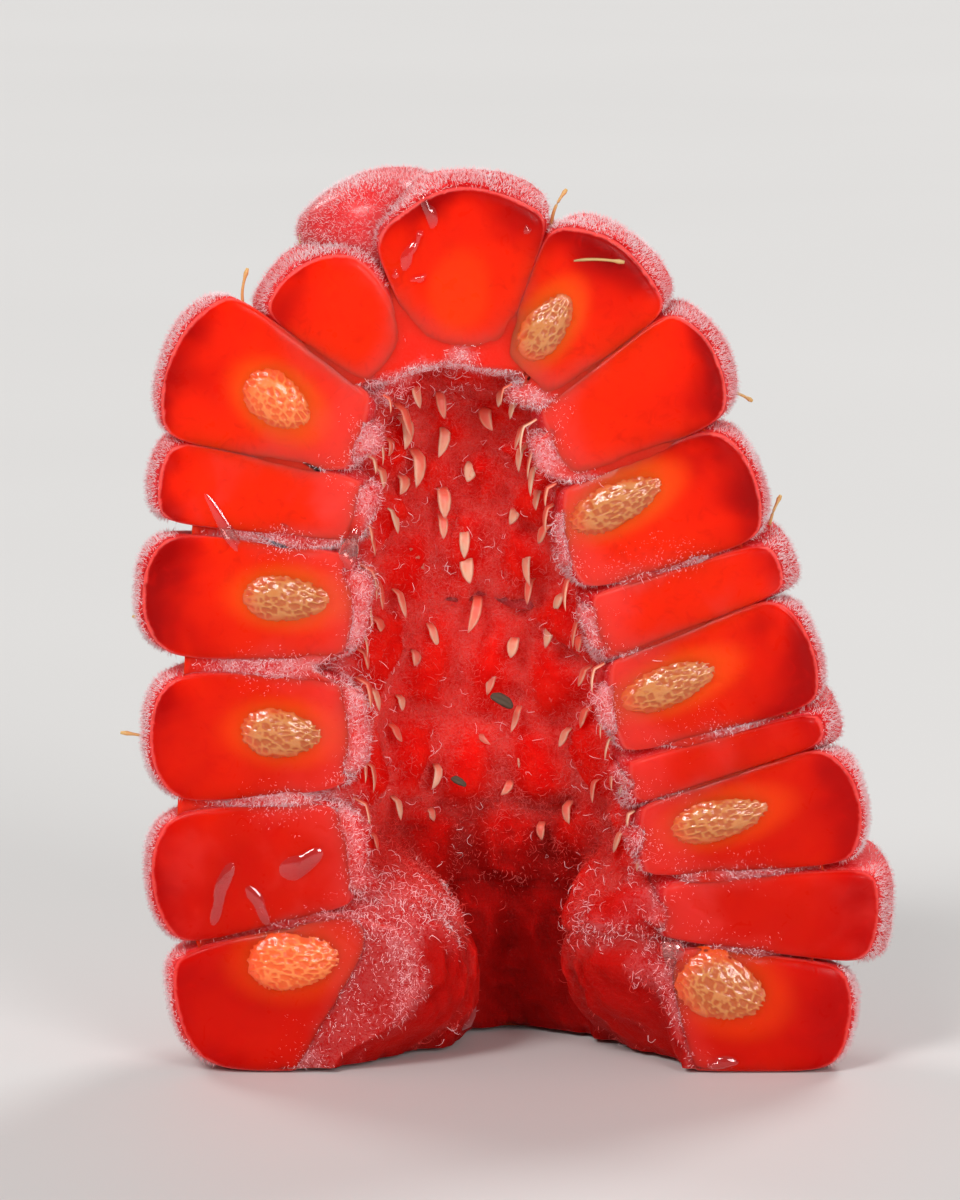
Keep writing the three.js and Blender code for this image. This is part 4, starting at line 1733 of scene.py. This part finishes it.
    def _web(self, points: Array) -> Array:
        """Where the wall between drupelets is bare flesh: away from the hollow, save in the fuzzy bands.

        Args:
            points: on the wall near the cut.

        Returns:
            From 0 where it is fuzzy to 1 where it is bare.
        """
        out = np.abs(points[..., 0] - axis_x(points[..., 2])) - at_height(HOLLOW, points[..., 2], 1)
        out = np.maximum(out, points[..., 2] - self.bare_top)
        folded = 0.9 - 0.65 * smooth(points[..., 2], self.bare_top - 1.2, self.bare_top + 0.4)
        out = out - folded * self._notch(points) ** 2 + 0.35 * layered(points, 0.6, 3, 43)
        bare = smooth(out, 0.2, 0.8)
        bare = bare * smooth(points[..., 2], 2.6, 3.6)
        for pair in BANDS:
            one, other = (np.array(CUT_DRUPELETS[name])[[0, 2]] for name in pair)
            between = (one + other) / 2
            away = np.hypot(points[..., 0] - between[0], (points[..., 2] - between[1]) * self.band_narrow)
            bare = bare * smooth(away, *self.BAND_RUN)
        return bare

    def _rings(self, first: Array, last: Array) -> tuple[Array, Array, Array]:
        """The rings that join the two sheets, put level where they face the cut.

        Args:
            first: the felted side's border.
            last: the hidden side's border.

        Returns:
            Their points, how far across each lies, and where they are bare flesh.
        """
        share = (np.arange(self.edge_rings) + 1)[:, None, None] / (self.edge_rings + 1)
        rings = first * (1 - share) + last * share
        share = share[..., 0]
        front = smooth(self.set_back + 0.4 - rings[..., 1], 0.0, 0.3)
        web = self._web(rings)
        level = self.fuzzy_level + (self.web_level - self.fuzzy_level) * web
        level = level + 0.04 * layered(rings, 0.6, 3, 33) * (1.1 - web) + 0.25 * smooth(share, 0.6, 1.0)
        rings[..., 1] += (level - rings[..., 1]) * front
        return rings, share, web

    def _felt(self, inner: Array, notch: Array) -> tuple[Array, Array]:
        """Where the inner side is felted, and where it is the pale fringe along the cut.

        Args:
            inner: its points.
            notch: how deep in a fold each lies.

        Returns:
            Both, from 0 to 1.
        """
        high = smooth(inner[..., 2], self.dim_from, self.dim_to)
        tufts = self._tufts(inner)
        felted = high + (1 - high) * tufts * (1 - smooth(inner[..., 1], 1.0, 4.5))
        edge = 1 - smooth(inner[..., 1] - 0.5 * notch - 0.4 * layered(inner, 0.5, 3, 45), 0.1, 1.1)
        return felted, edge * (high + (1 - high) * tufts * 0.65)

    def _closed(self, inner: Array, outer: Array, notch: Array) -> Surface:
        """Joins the two sheets at their borders.

        Args:
            inner: points of the felted side.
            outer: points of the hidden side.
            notch: how deep in a fold each inner point lies.

        Returns:
            The closed shell with its values.
        """
        rows, columns = notch.shape
        size = rows * columns
        row, column = np.meshgrid(np.arange(rows - 1), np.arange(columns - 1), indexing="ij")
        here = row * columns + column
        inside = np.stack([here, here + columns, here + columns + 1, here + 1], -1).reshape(-1, 4)
        border = np.concatenate([
            np.arange(columns - 1),
            np.arange(rows - 1) * columns + columns - 1,
            (rows - 1) * columns + np.arange(columns - 1, 0, -1),
            np.arange(rows - 1, 0, -1) * columns,
        ])
        rings, share, web = self._rings(inner.reshape(-1, 3)[border], outer.reshape(-1, 3)[border])
        felted, edge = self._felt(inner, notch)
        low = 1 - smooth(rings[..., 2], self.dim_from, self.dim_to)
        ring_edge = (1 - web) * (1 - 0.75 * low * (1 - self._tufts(rings)))
        between = 2 * size + np.arange(web.size).reshape(-1, len(border))
        steps = np.concatenate([border[None], between, border[None] + size])
        after = np.roll(steps, -1, axis=1)
        sides = np.stack([steps[:-1], after[:-1], after[1:], steps[1:]], -1).reshape(-1, 4)
        points = np.concatenate([inner.reshape(-1, 3), outer.reshape(-1, 3), rings.reshape(-1, 3)])
        along = np.broadcast_to(1 - share * 0.6, web.shape).ravel()
        # Painted shade: darker low in the hollow and further behind the cut.
        behind = smooth(points[:, 1], 1.2, 4.0)
        dim = 1 - smooth(points[:, 2] - 1.2 * behind, self.dim_from, self.dim_to)
        hidden = np.zeros(size)
        return Surface(
            points,
            np.concatenate([inside, inside[:, ::-1] + size, sides]),
            np.zeros((0, 3), int),
            {
                "notch": np.concatenate([notch.ravel(), hidden + self.HIDDEN_NOTCH, along]),
                "felted": np.concatenate([felted.ravel(), hidden, np.zeros(web.size)]),
                "edge": np.concatenate([edge.ravel(), hidden, ring_edge.ravel()]),
                "dim": dim * (0.7 + 0.3 * behind),
                "web": np.concatenate([hidden, np.ones(size), web.ravel()]),
            },
        )


# ------------------------ hair and felt


@dataclass(frozen=True)
class Hair:
    """Straight fine hair on a surface.

    Each hair leaves at the normal, leant by a random vector of length mess and down by droop. Its length
    varies by spread about the mean.
    """

    count: int
    length: float
    radius: float
    seed: int
    mess: float = 0.45
    droop: float = 0.0
    spread: float = 0.35
    sunk: float = 0.02

    def grow(self, surface: Surface, weight: Array) -> Surface:
        """Grows the hairs.

        Args:
            surface: what they stand on.
            weight: how densely, one number per point.

        Returns:
            The hairs, none of them near the floor.
        """
        rng = np.random.default_rng(self.seed)
        places, normals = scatter(surface, weight, self.count, self.seed + 1)
        ways = normals + self.mess * rng.normal(size=(self.count, 3)) / math.sqrt(3)
        ways[:, 2] -= self.droop
        lengths = self.length * (1 + self.spread * (2 * rng.random(self.count) - 1))
        kept = places[:, 2] > self.length
        places, ways, lengths = places[kept], unit(ways[kept]), lengths[kept]
        return spikes(places - ways * self.sunk, ways, lengths, self.radius)


@dataclass(frozen=True)
class Strands:
    """Curling strands that lie on a surface, arched a little off it.

    A strand starts in a random direction along the surface and turns by a steady random curl at each step.
    """

    count: int
    step: float
    steps: int
    radius: float
    seed: int
    curl: float = 0.9
    rise: float = 0.12
    least_rise: float = 0.3
    taper: float = 0.5

    # The part of a half sine that a strand follows.
    ARCH = (0.05, 0.95)

    def grow(self, surface: Surface, weight: Array) -> Surface:
        """Grows the strands: each arches by a half sine and thins towards its tip.

        Args:
            surface: what they lie on.
            weight: how densely, one number per point.

        Returns:
            The strands, all of them above the floor.
        """
        rng = np.random.default_rng(self.seed)
        places, normals = scatter(surface, weight, self.count, self.seed + 1)
        across = unit(np.cross(normals, rng.normal(size=(self.count, 3))))
        beside = np.cross(normals, across)
        turn = 2 * np.pi * rng.random(self.count)[:, None]
        turn = turn + self.curl * rng.normal(size=(self.count, 1)) * np.arange(self.steps)
        moves = across[:, None] * np.cos(turn)[..., None] + beside[:, None] * np.sin(turn)[..., None]
        paths = places[:, None] + np.cumsum(moves, axis=1) * self.step
        arch = self.rise * np.sin(np.pi * np.linspace(*self.ARCH, self.steps))
        arch = arch * (self.least_rise + rng.random((self.count, 1)))
        paths = paths + normals[:, None] * arch[..., None]
        paths[..., 2] = np.maximum(paths[..., 2], 2 * self.radius)
        radii = self.radius * np.linspace(1.0, self.taper, self.steps) * np.ones((self.count, 1))
        return tubes(paths, radii, 3)


class Fur:
    """All hair of the fruit: the bloom on the skin, the fringe along the cut and the felt of the hollow."""

    RIM = Hair(count=38000, length=0.13, radius=0.010, seed=51, mess=0.7)
    BACK = Hair(count=23000, length=0.15, radius=0.012, seed=55, mess=0.7)
    TONGUES = Hair(count=15000, length=0.13, radius=0.009, seed=57, mess=0.9)
    FELT = Hair(count=14000, length=0.14, radius=0.008, seed=59, mess=1.2, droop=0.3)
    FRINGE = Hair(count=20000, length=0.14, radius=0.0068, seed=60, mess=1.1, droop=0.2)
    MAT = Strands(count=2600, step=0.10, steps=4, radius=0.0065, seed=61)
    LACE = Strands(count=1500, step=0.10, steps=4, radius=0.0065, seed=62)
    PATCH_SIZE = 0.9
    PATCH_STRETCH = np.array([1.0, 1.0, 0.6])
    # By the first word of a piece's name.
    FINISHES = {
        "hair": HairFinish("bloom", (0.93, 0.46, 0.48), (0.94, 0.71, 0.73)),
        "felt": HairFinish("felt_fibre", (0.92, 0.05, 0.04), (0.93, 0.16, 0.145)),
        # The fringe hair gives off a painted glow.
        "fringe": HairFinish("fringe", (0.95, 0.50, 0.53), (0.95, 0.77, 0.79), 0.24),
    }

    def __init__(self, flesh: Flesh, wall: Surface) -> None:
        """Grows the hair.

        Args:
            flesh: the drupelets that it grows on.
            wall: the wall of the hollow.
        """
        cut, back, whole = Surface.joined(list(flesh.cut.values())), flesh.back, flesh.whole
        near_cut = smooth(-cut.points[:, 1], -1.3, -0.2) * (1 - cut.values["face"])
        skin = cut.values["free"] * (1 - cut.values["face"])
        near = 0.5 + smooth(-whole.points[:, 1], -4.0, -1.5)
        tongues = (0.1 + whole.values["free"]) * near * whole.values["tuft"]
        notch, edge = wall.values["notch"], wall.values["edge"]
        patches = smooth(layered(wall.points * self.PATCH_STRETCH, self.PATCH_SIZE, 2, 77), -0.3, 0.5)
        inside = wall.values["felted"] * (0.08 + notch * 0.8 + patches * 0.6)
        lace = inside * smooth(-wall.points[:, 1], -2.6, -0.6) + 0.08 * inside
        self.pieces = {
            "hair_rim": self.RIM.grow(cut, skin * (0.3 + near_cut)),
            "hair_back": self.BACK.grow(back, back.values["free"]),
            "hair_tongues": self.TONGUES.grow(whole, tongues),
            "felt_hair": self.FELT.grow(wall, inside),
            "fringe_hair": self.FRINGE.grow(wall, edge * (0.3 + notch)),
            "felt_strands": self.MAT.grow(wall, inside),
            "fringe_strands": self.LACE.grow(wall, lace),
        }

    def build(self) -> list[Piece]:
        """Makes and dresses the pieces.

        Returns:
            One piece for each kind of hair.
        """
        return [
            dressed(surface, name, self.FINISHES[name.split("_")[0]])
            for name, surface in self.pieces.items()
        ]


# ------------------------ stones, fibre ends, styles and scraps


@dataclass
class Stone:
    """A netted stone: a flattened, tapered egg with a raised net over it.

    bare is how far from its middle, seen square to the cut, the flesh starts to cover it.
    """

    name: str
    rows: int = 58
    columns: int = 72
    cells: int = 300
    net_height: float = 0.03
    net_base: float = 0.4
    net_from: float = 0.02
    net_width: float = 0.05
    bare: float = 0.50
    front: float = -math.pi / 2
    crowding: float = 0.62
    stretch: float = 0.72
    spiral_jitter: float = 0.3
    cell_jitter: float = 0.06

    # The golden angle.
    CELL_TURN = 2.39996

    def _cells(self, half: Array) -> Array:
        """Middles of the net's cells, on a spiral over the egg with a little jitter.

        Args:
            half: the egg's half sizes.

        Returns:
            The middles.
        """
        rng = np.random.default_rng(sorted(STONES).index(self.name))
        order = np.arange(self.cells)
        level = 1 - 2 * (order + 0.5) / self.cells
        turn = order * self.CELL_TURN + self.spiral_jitter * rng.random(self.cells)
        flat = np.sqrt(1 - level**2)
        middles = np.stack([level, flat * np.sin(turn), flat * np.cos(turn)], -1)
        return unit(middles + self.cell_jitter * rng.normal(size=middles.shape)) * half

    def surface(self) -> Surface:
        """The egg on a grid round its length, its columns closer together on the side that shows.

        It is lifted along its normal where two cells of the net are equally near.

        Returns:
            The closed surface, with the values that StoneFinish reads.
        """
        x, z, length, height, tilt = STONES[self.name]
        half = np.array([length / 2, STONE_THICKNESS / 2, height / 2])
        end, turn = sphere_grid(self.rows, self.columns)
        turn = turn - self.crowding * np.sin(turn - self.front)
        ways = np.stack([np.cos(end), np.sin(end) * np.sin(turn), np.sin(end) * np.cos(turn)], -1)
        bodies = ways * half
        apart = (bodies[..., None, :] - self._cells(half)) * np.array([self.stretch, 1.0, 1.0])
        away = np.partition(np.linalg.norm(apart, axis=-1), 1, axis=-1)
        net = 1 - smooth(away[..., 1] - away[..., 0], self.net_from, self.net_width)
        narrow = 1 - STONE_TAPER * ways[..., :1]
        bodies = bodies * np.concatenate([np.ones_like(narrow), narrow, narrow], axis=-1)
        bodies = bodies + unit(ways / half) * (self.net_height * (net - self.net_base))[..., None]
        veil = smooth(np.hypot(ways[..., 0], ways[..., 2]), self.bare, 0.98)
        bodies[..., 1] += STONE_SINK
        ends = np.array([[half[0], STONE_SINK, 0.0], [-half[0], STONE_SINK, 0.0]])
        first, last = in_cut(ends, x, z, tilt)
        return ball(first, in_cut(bodies, x, z, tilt), last, {"net": net, "veil": veil})

    def build(self) -> Piece:
        """Makes and dresses the stone."""
        finish = VEILED_STONE if self.name in VEILED else BARE_STONE
        return dressed(self.surface(), f"stone_{self.name}", finish)


@dataclass
class FibreEnds:
    """Torn fibre ends on the wall of the hollow: bent, pointed scales that hang tip down.

    They hang between the heights low and high and the turns turn_from and turn_to, in degrees from the right.
    """

    count: int = 92
    low: float = 4.9
    high: float = 16.7
    length: float = 0.64
    width: float = 0.14
    flat: float = 0.26
    sunk: float = 0.3
    lean: float = 0.16
    bend: float = 2.0
    spread: float = 0.4
    twist: float = 0.25
    back_loss: float = 0.35
    turn_from: float = 6.0
    turn_to: float = 174.0
    turn_jitter: float = 0.12
    crowding: float = 0.9
    height_power: float = 1.1
    seed: int = 11
    steps: int = 11
    sides: int = 8

    # A scale's width along its length: places, then shares of the full width.
    PROFILE = ((0, 0.15, 0.4, 0.7, 0.92, 1), (0.8, 0.95, 1.0, 0.76, 0.3, 0.06))
    # Heights between which the scales at the back grow to full size.
    FULL_FROM = (6.0, 13.0)

    def _places(self) -> tuple[Array, ...]:
        """Where the scales hang, by the golden ratio, closer together towards the cut and the tip.

        Returns:
            Their roots, directions towards the axis, lengths, widths and twists.
        """
        draws = Draws(self.seed)
        rows = []
        for i in range(self.count):
            share = (i * Packing.SPIRAL_STEP + self.turn_jitter * draws()) % 1
            share += (0.5 - 0.5 * math.cos(math.pi * share) - share) * self.crowding
            turn = math.radians(self.turn_from + (self.turn_to - self.turn_from) * share)
            height = self.high - (self.high - self.low) * ((i + draws()) / self.count) ** self.height_power
            radius = float(at_height(HOLLOW, height, 1)) + self.sunk
            way = np.array([-math.cos(turn), -math.sin(turn), 0.0])
            small = 1 - self.back_loss * math.sin(turn) * (1 - float(smooth(height, *self.FULL_FROM)))
            rows.append((
                [axis_x(height) - way[0] * radius, -way[1] * radius * HOLLOW_DEPTH, height],
                way,
                self.length * small * (1 + self.spread * (2 * draws() - 1)),
                self.width * small * (0.75 + 0.5 * draws()),
                self.twist * (2 * draws() - 1),
            ))
        return tuple(np.array(column) for column in zip(*rows))

    def surface(self) -> Surface:
        """The scales as flat tubes: each leaves the wall, hangs down and bends back in towards it at its tip.

        Returns:
            All scales, with the values that FibreFinish reads.
        """
        roots, inward, lengths, widths, twists = self._places()
        along = np.linspace(0, 1, self.steps)
        aside = np.cross(inward, [0.0, 0.0, 1.0])
        out = self.sunk * smooth(along, 0.0, 0.22) + self.lean * np.sin(along * self.bend)
        paths = (
            roots[:, None]
            + inward[:, None] * (out * lengths[:, None])[..., None]
            + aside[:, None] * (twists[:, None] * along**2)[..., None]
        )
        paths[..., 2] -= along * lengths[:, None]
        radii = widths[:, None] * np.interp(along, *self.PROFILE)
        surface = tubes(paths, radii, self.sides, self.flat, aside)
        tones = np.random.default_rng(self.seed).random(len(roots)) * 2 - 1
        surface.values["tone"] = np.repeat(tones, len(surface.points) // len(roots))
        return surface

    def build(self) -> Piece:
        """Makes and dresses the scales."""
        straw = FibreFinish("straw", (0.80, 0.11, 0.07), (0.84, 0.47, 0.31))
        return dressed(self.surface(), "fibre_ends", straw)


# Dried styles: drupelet, then root and tip as x and z, and how far behind the cut they stand.
STYLES = (
    ("left_1", -6.1, 18.0, -6.3, 19.3, 1.3),
    ("left_0", -4.85, 19.3, -5.0, 20.15, 1.6),
    ("crown_left", -3.2, 20.6, -2.6, 20.2, 1.2),
    ("right_1", 0.85, 20.5, 1.3, 21.2, 1.2),
    ("right_2", 5.1, 16.3, 5.75, 16.1, 1.4),
    ("right_4", 6.55, 12.8, 6.45, 13.8, 1.6),
    ("right_6", 6.6, 7.6, 6.7, 8.9, 0.2),
    ("right_7", 8.2, 6.6, 8.45, 6.1, 0.9),
    ("right_8", 7.5, 3.3, 8.7, 4.3, 0.3),
    ("left_4", -8.0, 7.1, -9.4, 8.1, 1.2),
    ("left_3", -8.2, 10.1, -9.1, 10.9, 1.4),
    ("left_2", -7.6, 13.5, -8.3, 14.4, 0.2),
    ("right_1", 0.95, 19.8, 2.65, 19.6, -0.23),
)


@dataclass
class Styles:
    """Dried styles on the skin: thin bent threads with a small knob at the tip."""

    packing: Packing
    root_share: float = 0.16
    radius: float = 0.042
    bow: float = 0.16
    steps: int = 14
    sides: int = 7
    every: int = 2
    back_length: float = 1.2
    back_leans: tuple = (0.5, 0.05, -0.4)
    least_bow: float = 0.5
    seed: int = 71

    # A thread's radius along its length: places, then shares of the radius, with the knob near the end.
    PROFILE = ((0, 0.1, 0.8, 0.88, 0.95, 1), (1.5, 1.1, 0.8, 1.0, 1.7, 0.9))

    def surface(self) -> Surface:
        """The threads as tubes: those of the table, and some on the back.

        Each bows sideways by a half sine and swells at its tip.

        Returns:
            All threads.
        """
        ends = []
        for name, root_x, root_z, tip_x, tip_z, depth in STYLES:
            middle = self.packing.named[name].centre
            root = np.array([root_x, depth, root_z])
            ends.append((root + (middle - root) * self.root_share, np.array([tip_x, depth, tip_z])))
        for i, one in enumerate(self.packing.back):
            if i % self.every == 0:
                root = one.tip + (one.centre - one.tip) * self.root_share
                way = unit(one.axes[0] + one.axes[1] * self.back_leans[i % len(self.back_leans)])
                ends.append((root, root + way * self.back_length))
        roots, tips = (np.array(points) for points in zip(*ends))
        along = np.linspace(0, 1, self.steps)
        rng = np.random.default_rng(self.seed)
        aside = unit(np.cross(tips - roots, rng.normal(size=roots.shape)))
        bow = self.bow * np.sin(np.pi * along) * (self.least_bow + rng.random((len(roots), 1)))
        paths = roots[:, None] + (tips - roots)[:, None] * along[:, None] + aside[:, None] * bow[..., None]
        radii = self.radius * np.interp(along, *self.PROFILE) * np.ones((len(roots), 1))
        return tubes(paths, radii, self.sides)

    def build(self) -> Piece:
        """Makes and dresses the threads."""
        brown = FibreFinish("dried_style", (0.42, 0.16, 0.05), (0.62, 0.36, 0.14))
        return dressed(self.surface(), "styles", brown)


@dataclass(frozen=True)
class Anther:
    """A dried anther scrap just off the wall of the hollow: a bent grain with a lengthwise crease."""

    number: int
    turn: float
    height: float
    length: float
    off_wall: float = 0.42
    slim: float = 0.22
    tilt: float = 28.0
    crease_turn: float = -1.6
    crease_width: float = 0.35
    crease_depth: float = 0.35
    wrinkle: float = 0.02
    wrinkle_size: float = 0.12
    bend: float = 0.12
    rows: int = 26
    columns: int = 24

    def surface(self) -> Surface:
        """A long ball, creased along one side, wrinkled, bent by a parabola and tilted along the wall.

        Returns:
            The scrap in its place.
        """
        half, radius = self.length / 2, self.length * self.slim
        end, turn = sphere_grid(self.rows, self.columns)
        forth = np.cos(end)
        from_crease = np.angle(np.exp(1j * (turn - self.crease_turn))) / self.crease_width
        across = radius * np.sin(end) ** 0.8 * (1 - self.crease_depth * np.exp(-(from_crease**2)))
        points = np.stack([half * forth, across * np.sin(turn), across * np.cos(turn)], -1)
        wrinkles = self.wrinkle * layered(points, self.wrinkle_size, 2, self.number)
        points = points + wrinkles[..., None] * unit(points)
        points[..., 2] += self.bend * half * (1 - forth**2)
        out = float(at_height(HOLLOW, self.height, 1)) - self.off_wall
        way, lean = math.radians(self.turn), math.radians(-self.tilt)
        x, y = axis_x(self.height) + out * math.cos(way), out * math.sin(way) * HOLLOW_DEPTH
        place = np.array([x, y, self.height])
        turned = np.array([
            [math.cos(lean), 0, -math.sin(lean)], [0, 1, 0], [math.sin(lean), 0, math.cos(lean)]
        ]).T
        first, last = (np.array([end_x, 0.0, 0.0]) @ turned + place for end_x in (half, -half))
        return ball(first, points @ turned + place, last)

    def build(self) -> Piece:
        """Makes and dresses the scrap."""
        return dressed(self.surface(), f"anther_scrap_{self.number}", AntherFinish())


@dataclass
class Juice:
    """Thin wet patches on the cut face: x, z, length, width, tilt and height of each."""

    patches: tuple = (
        (-1.95, 20.75, 0.8, 0.35, 100, 0.14),
        (-2.45, 19.75, 0.7, 0.4, 60, 0.14),
        (-2.2, 20.2, 0.34, 0.24, 80, 0.16),
        (-2.2, 19.2, 0.42, 0.26, 35, 0.16),
        (-2.75, 19.3, 0.3, 0.2, 120, 0.14),
        (0.35, 20.35, 0.32, 0.2, 60, 0.14),
        (-3.86, 12.75, 1.0, 0.42, 64, 0.12),
        (-6.95, 4.45, 1.5, 0.5, 70, 0.08),
        (-6.1, 4.2, 1.0, 0.45, 120, 0.08),
        (-5.1, 5.1, 1.1, 0.7, 40, 0.10),
        (-6.9, 13.4, 2.3, 0.3, -58, 0.08),
        (3.85, 2.95, 0.8, 0.45, 110, 0.10),
        (5.1, 0.28, 0.8, 0.3, 0, 0.12),
    )
    rows: int = 16
    columns: int = 36
    behind: float = 0.05

    def surface(self) -> Surface:
        """The patches as flat balls in the cut plane, whose edge wanders by two sines.

        Returns:
            All patches.
        """
        parts = []
        for i, (x, z, length, width, tilt, height) in enumerate(self.patches):
            end, turn = sphere_grid(self.rows, self.columns)
            edge = 1 + 0.22 * np.sin(2 * turn + i) + 0.14 * np.sin(3 * turn + 2.3 * i)
            flat = np.sin(end) * edge
            deep = -np.cos(end) * height
            u, v = flat * np.cos(turn) * length / 2, flat * np.sin(turn) * width / 2
            points = in_cut(np.stack([u, deep - self.behind, v], -1), x, z, tilt)
            first, last = (np.array([x, end - self.behind, z]) for end in (-height, height))
            parts.append(ball(first, points, last))
        return Surface.joined(parts)

    def build(self) -> Piece:
        """Makes and dresses the patches."""
        return dressed(self.surface(), "juice", JuiceFinish())


# ------------------------ the stage


# Half the floor's width in metres, and its two greys.
FLOOR_REACH = 12.0
FLOOR_TONES = ((0.60, 0.59, 0.58), (0.64, 0.63, 0.62))
SKY_COLOUR = (1.0, 0.98, 0.96, 1.0)
SKY_STRENGTH = 0.28
# Lights: name, azimuth, elevation and width in degrees, and power.
LIGHTS = (
    ("soft_key", -32, 38, 20, 1.35),
    ("soft_front", 26, 20, 24, 1.5),
    ("soft_rim", 150, 38, 20, 1.3),
    ("soft_rim_left", -140, 32, 20, 1.0),
    ("glint", -24, 44, 10, 0.4),
)


def build_stage() -> None:
    """The floor, the soft lights and the sky."""
    scene = bpy.context.scene
    floor_mesh = bpy.data.meshes.new("floor")
    corners = [(x * FLOOR_REACH, y * FLOOR_REACH, 0) for x, y in ((-1, -1), (1, -1), (1, 1), (-1, 1))]
    floor_mesh.from_pydata(corners, [], [(0, 1, 2, 3)])
    floor = bpy.data.objects.new("floor", floor_mesh)
    scene.collection.objects.link(floor)
    tree = Tree("floor")
    grain = tree.grain(0.05, 2.0)
    floor_mesh.materials.append(tree.dress(Base_Color=tree.mix(grain, *FLOOR_TONES), Roughness=0.6))
    world = bpy.data.worlds.new("studio")
    scene.world = world
    world.use_nodes = True
    background = world.node_tree.nodes["Background"]
    background.inputs["Color"].default_value = SKY_COLOUR
    background.inputs["Strength"].default_value = SKY_STRENGTH
    for name, azimuth, elevation, softness, power in LIGHTS:
        light = bpy.data.lights.new(name, "SUN")
        light.angle = math.radians(softness)
        light.energy = power
        lamp = bpy.data.objects.new(name, light)
        turn, lift = math.radians(azimuth), math.radians(elevation)
        way = Vector((math.sin(turn) * math.cos(lift), -math.cos(turn) * math.cos(lift), math.sin(lift)))
        lamp.rotation_euler = (-way).to_track_quat("-Z", "Y").to_euler()
        scene.collection.objects.link(lamp)
    scene.view_settings.view_transform = "Standard"


@dataclass(frozen=True)
class Camera:
    """A camera that looks at the cut face from a little above.

    scale is how many pixels of the 960 by 1200 frame a millimetre of the cut face takes, and centre is the
    point of the cut face in the middle of the frame.
    """

    scale: float = 42.0
    centre: tuple = (-0.76, 11.5)
    elevation: float = 8.5
    distance: float = 180.0
    frame_height: float = 1200.0
    sensor: float = 24.0
    nearest: float = 0.005

    def build(self) -> None:
        """Makes the camera and gives it to the scene."""
        data = bpy.data.cameras.new("camera")
        data.sensor_fit = "VERTICAL"
        data.sensor_height = self.sensor
        data.lens = self.sensor * self.distance / (self.frame_height / self.scale)
        data.clip_start = self.nearest
        camera = bpy.data.objects.new("camera", data)
        lift = math.radians(self.elevation)
        x, z = self.centre
        aim = Vector(to_frame(np.array([x, 0.0, z])))
        camera.location = aim + Vector((0, -math.cos(lift), math.sin(lift))) * self.distance * MM
        camera.rotation_euler = (aim - camera.location).to_track_quat("-Z", "Y").to_euler()
        bpy.context.scene.collection.objects.link(camera)
        bpy.context.scene.camera = camera


def keep(pieces: list[Piece], slot: str, *nodes: str) -> None:
    """Hangs pieces on the fruit's body, hides the solid frame's nodes that they replace, and reports them.

    Args:
        pieces: that ride on the fruit.
        slot: not used. whose finish they show.
        nodes: of the solid frame that they replace.
    """
    for piece in pieces:
        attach(piece, "root")
        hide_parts(*nodes)
        LOG.info("%s: %d faces", piece.name, len(piece.data.polygons))


def main() -> None:
    """Builds every part of the fruit in order, then the stage."""
    logging.basicConfig(level=logging.INFO, format="%(name)s: %(message)s")
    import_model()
    Camera().build()
    packing = Packing()
    flesh = Flesh(packing)
    keep(flesh.build(), "flesh", "flesh")
    wall = FeltWall(packing).surface()
    keep([dressed(wall, "felt_wall", FeltFinish())], "flesh", "flesh")
    keep(Fur(flesh, wall).build(), "flesh", "flesh")
    keep([FibreEnds().build(), Styles(packing).build(), Juice().build()], "flesh", "flesh")
    for name in STONES:
        keep([Stone(name).build()], "stone", f"seed_{name}")
    for anther in (Anther(1, 80.0, 8.6, 0.62), Anther(2, 108.0, 6.6, 0.42)):
        keep([anther.build()], "anther", f"anther_{anther.number}")
    build_stage()


if __name__ == "__main__":
    main()
